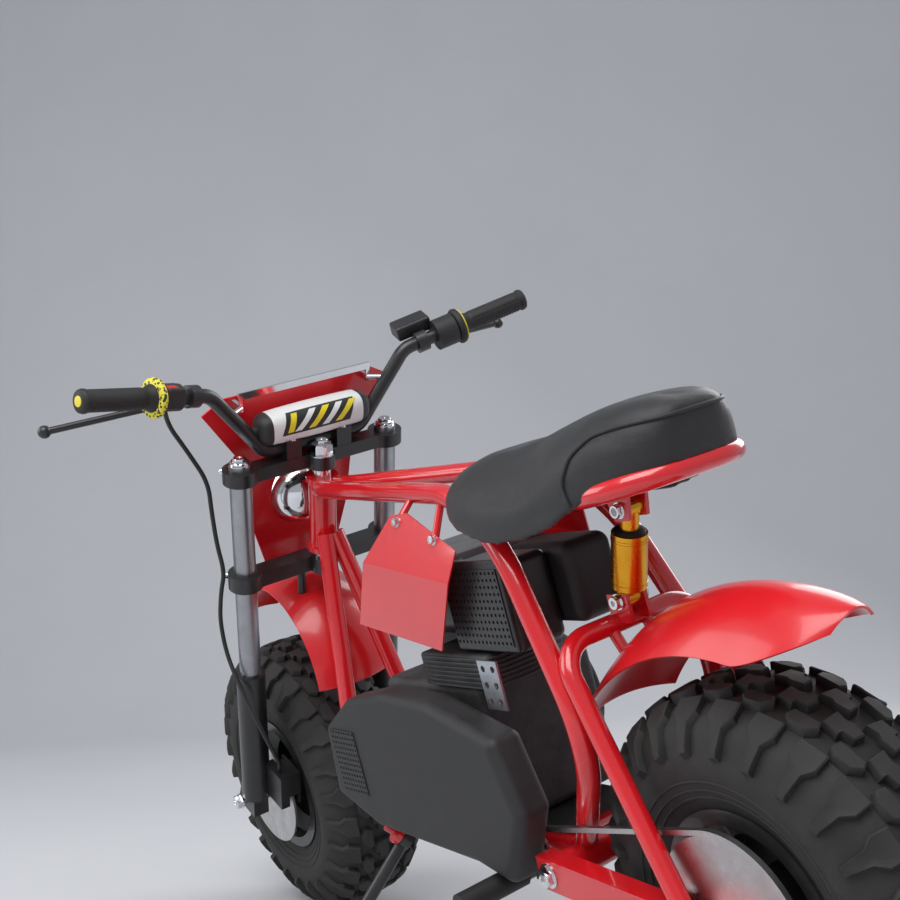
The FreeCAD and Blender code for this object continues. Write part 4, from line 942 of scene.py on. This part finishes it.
# %% The fins, the shock's rings and the switches
def fins(name, middle, half, heights, thick, finish_name):
    """For each height a plate whose outline is (a |cos|^0.3, b |sin|^0.3) with the signs kept."""
    angle = np.linspace(0, 2 * math.pi, 48, endpoint=False)
    outline = np.stack((half[0] * np.sign(np.cos(angle)) * np.abs(np.cos(angle)) ** 0.3,
                        half[1] * np.sign(np.sin(angle)) * np.abs(np.sin(angle)) ** 0.3), 1)
    points, faces = [], []
    for number, height in enumerate(heights):
        for up, grow in ((-thick / 2, 0.995), (-thick * 0.3, 1.0), (thick * 0.3, 1.0), (thick / 2, 0.995)):
            points.append(np.c_[middle[0] + outline[:, 0] * grow, middle[1] + outline[:, 1] * grow,
                                np.full(48, height + up)])
        start = number * 192
        faces += (grid_faces(4, 48, close_columns=True) + start).tolist()
        faces += [list(range(start, start + 48)), list(range(start + 144, start + 192))]
    return sharpen(outward(to_mesh(name, place(np.concatenate(points)), faces, finish_name, "frame")), 40)


fins("barrel_fins", (-0.155, 0.053), (0.0835, 0.0465), np.linspace(0.474, 0.511, 7), 0.0022, "cast_metal")
SHOCK_FOOT = np.array((-0.420, 0, 0.562))
SHOCK_AXIS = np.array((-0.462, 0, 0.668)) - SHOCK_FOOT
SHOCK_AXIS /= np.linalg.norm(SHOCK_AXIS)
UPRIGHT = Matrix.Identity(4)
SEAL = [(0.0834, 0.0115), (0.0836, 0.0185), (0.0850, 0.0190), (0.0862, 0.0180), (0.0872, 0.0130), (0.0880, 0.0115)]
turned("shock_seal", SHOCK_FOOT, SHOCK_AXIS, SEAL, "rubber", "frame", 64, UPRIGHT)
for number, along in enumerate((0.0220, 0.0740, 0.0772)):
    turned(f"shock_ring_{number}", SHOCK_FOOT, SHOCK_AXIS,
           [(along - 0.0009, 0.0205), (along - 0.0005, 0.0215), (along + 0.0005, 0.0215), (along + 0.0009, 0.0205)],
           "gold_anodised", "frame", 64, UPRIGHT)


def soft_block(name, middle, axes, size, finish_name, body, matrix=STEER, power=0.3):
    """A block with soft edges: (a C(v) C(u), b C(v) S(u), c S(v)), where C and S are the cosine and the sine
    raised to a small power with their signs kept."""
    def rounded(value):
        return np.sign(value) * np.abs(value) ** power
    u = np.linspace(-math.pi, math.pi, 40, endpoint=False)[None]
    v = np.linspace(-math.pi / 2, math.pi / 2, 21)[:, None]
    local = np.stack((size[0] * rounded(np.cos(v)) * rounded(np.cos(u)),
                      size[1] * rounded(np.cos(v)) * rounded(np.sin(u)),
                      size[2] * rounded(np.sin(v)) * np.ones_like(u)), -1)
    points = np.asarray(middle) + local @ np.asarray(axes, float)
    piece = to_mesh(name, place(points, matrix).reshape(-1, 3), grid_faces(21, 40, close_columns=True).tolist(),
                    finish_name, body)
    return sharpen(outward(piece), 50)


FINISH["red_switch"] = finish("red_switch", (0.66, 0.012, 0.01), (0.58, 0.01, 0.01), (0.38, 0.5), 60)
BACK = np.cross(INWARD, (0, 0, 1))
BACK *= -np.sign(BACK[0]) / np.linalg.norm(BACK)
UPWARD = np.cross(BACK, INWARD)
UPWARD *= np.sign(UPWARD[2])
AXES = np.stack((INWARD, BACK, UPWARD))
for label, along, back, up, size in (("starter", 0.137, 0.013, 0.0165, (0.0085, 0.0055, 0.0045)),
                                     ("cut_out", 0.151, 0.0165, 0.010, (0.0050, 0.0050, 0.0060))):
    soft_block("switch_" + label, GRIP_END + INWARD * along + BACK * back + UPWARD * up, AXES, size, "red_switch",
               "fork")
soft_block("switch_body", GRIP_END + INWARD * 0.1428 + BACK * 0.007 + UPWARD * 0.004, AXES, (0.0165, 0.0155, 0.0165),
           "black_plastic", "fork")

# %% [markdown]
# Polished stanchions that carry oil seals are ground, not mirror bright: a satin metal with a soft streak.

# %% A satin finish for the fork legs
nodes["stanchions"].data.materials.clear()
nodes["stanchions"].data.materials.append(finish("satin_steel", (0.40, 0.41, 0.43), (0.34, 0.35, 0.37), (0.3, 0.42), 30,
                                                 ("mottle", 600), 0.00005, Metallic=1.0))

# %% [markdown]
# The lamp's lens is a shallow moulded dome. Fine flutes in it spread the beam, and they show as bands.

# %% The lamp's lens
def flutes(along, angle):
    """Ripples round the lens that fade towards its rim."""
    return 0.0006 * np.clip(along / 0.010, 0, 1) * np.sin(angle * 24)


FINISH["lens"] = finish("lens", (0.62, 0.64, 0.66), (0.5, 0.52, 0.55), (0.08, 0.16), 130, Metallic=0.35, Coat_Weight=1.0,
                        Coat_Roughness=0.04)
LENS = [(-0.001, 0.0495), (0.0005, 0.0500), (0.0030, 0.0480), (0.0060, 0.0425), (0.0085, 0.0350), (0.0105, 0.0260),
        (0.0118, 0.0160), (0.0124, 0.0070), (0.0126, 0.0010)]
LEVEL = np.array((math.cos(math.radians(28)), 0, -math.sin(math.radians(28))))
turned("lamp_lens", np.array((0.079, 0, -0.062)) + LEVEL * 0.038, LEVEL, LENS, "lens", "fork", 96, ripple=flutes)

# %% Update the scene and finish
bpy.context.view_layer.update()
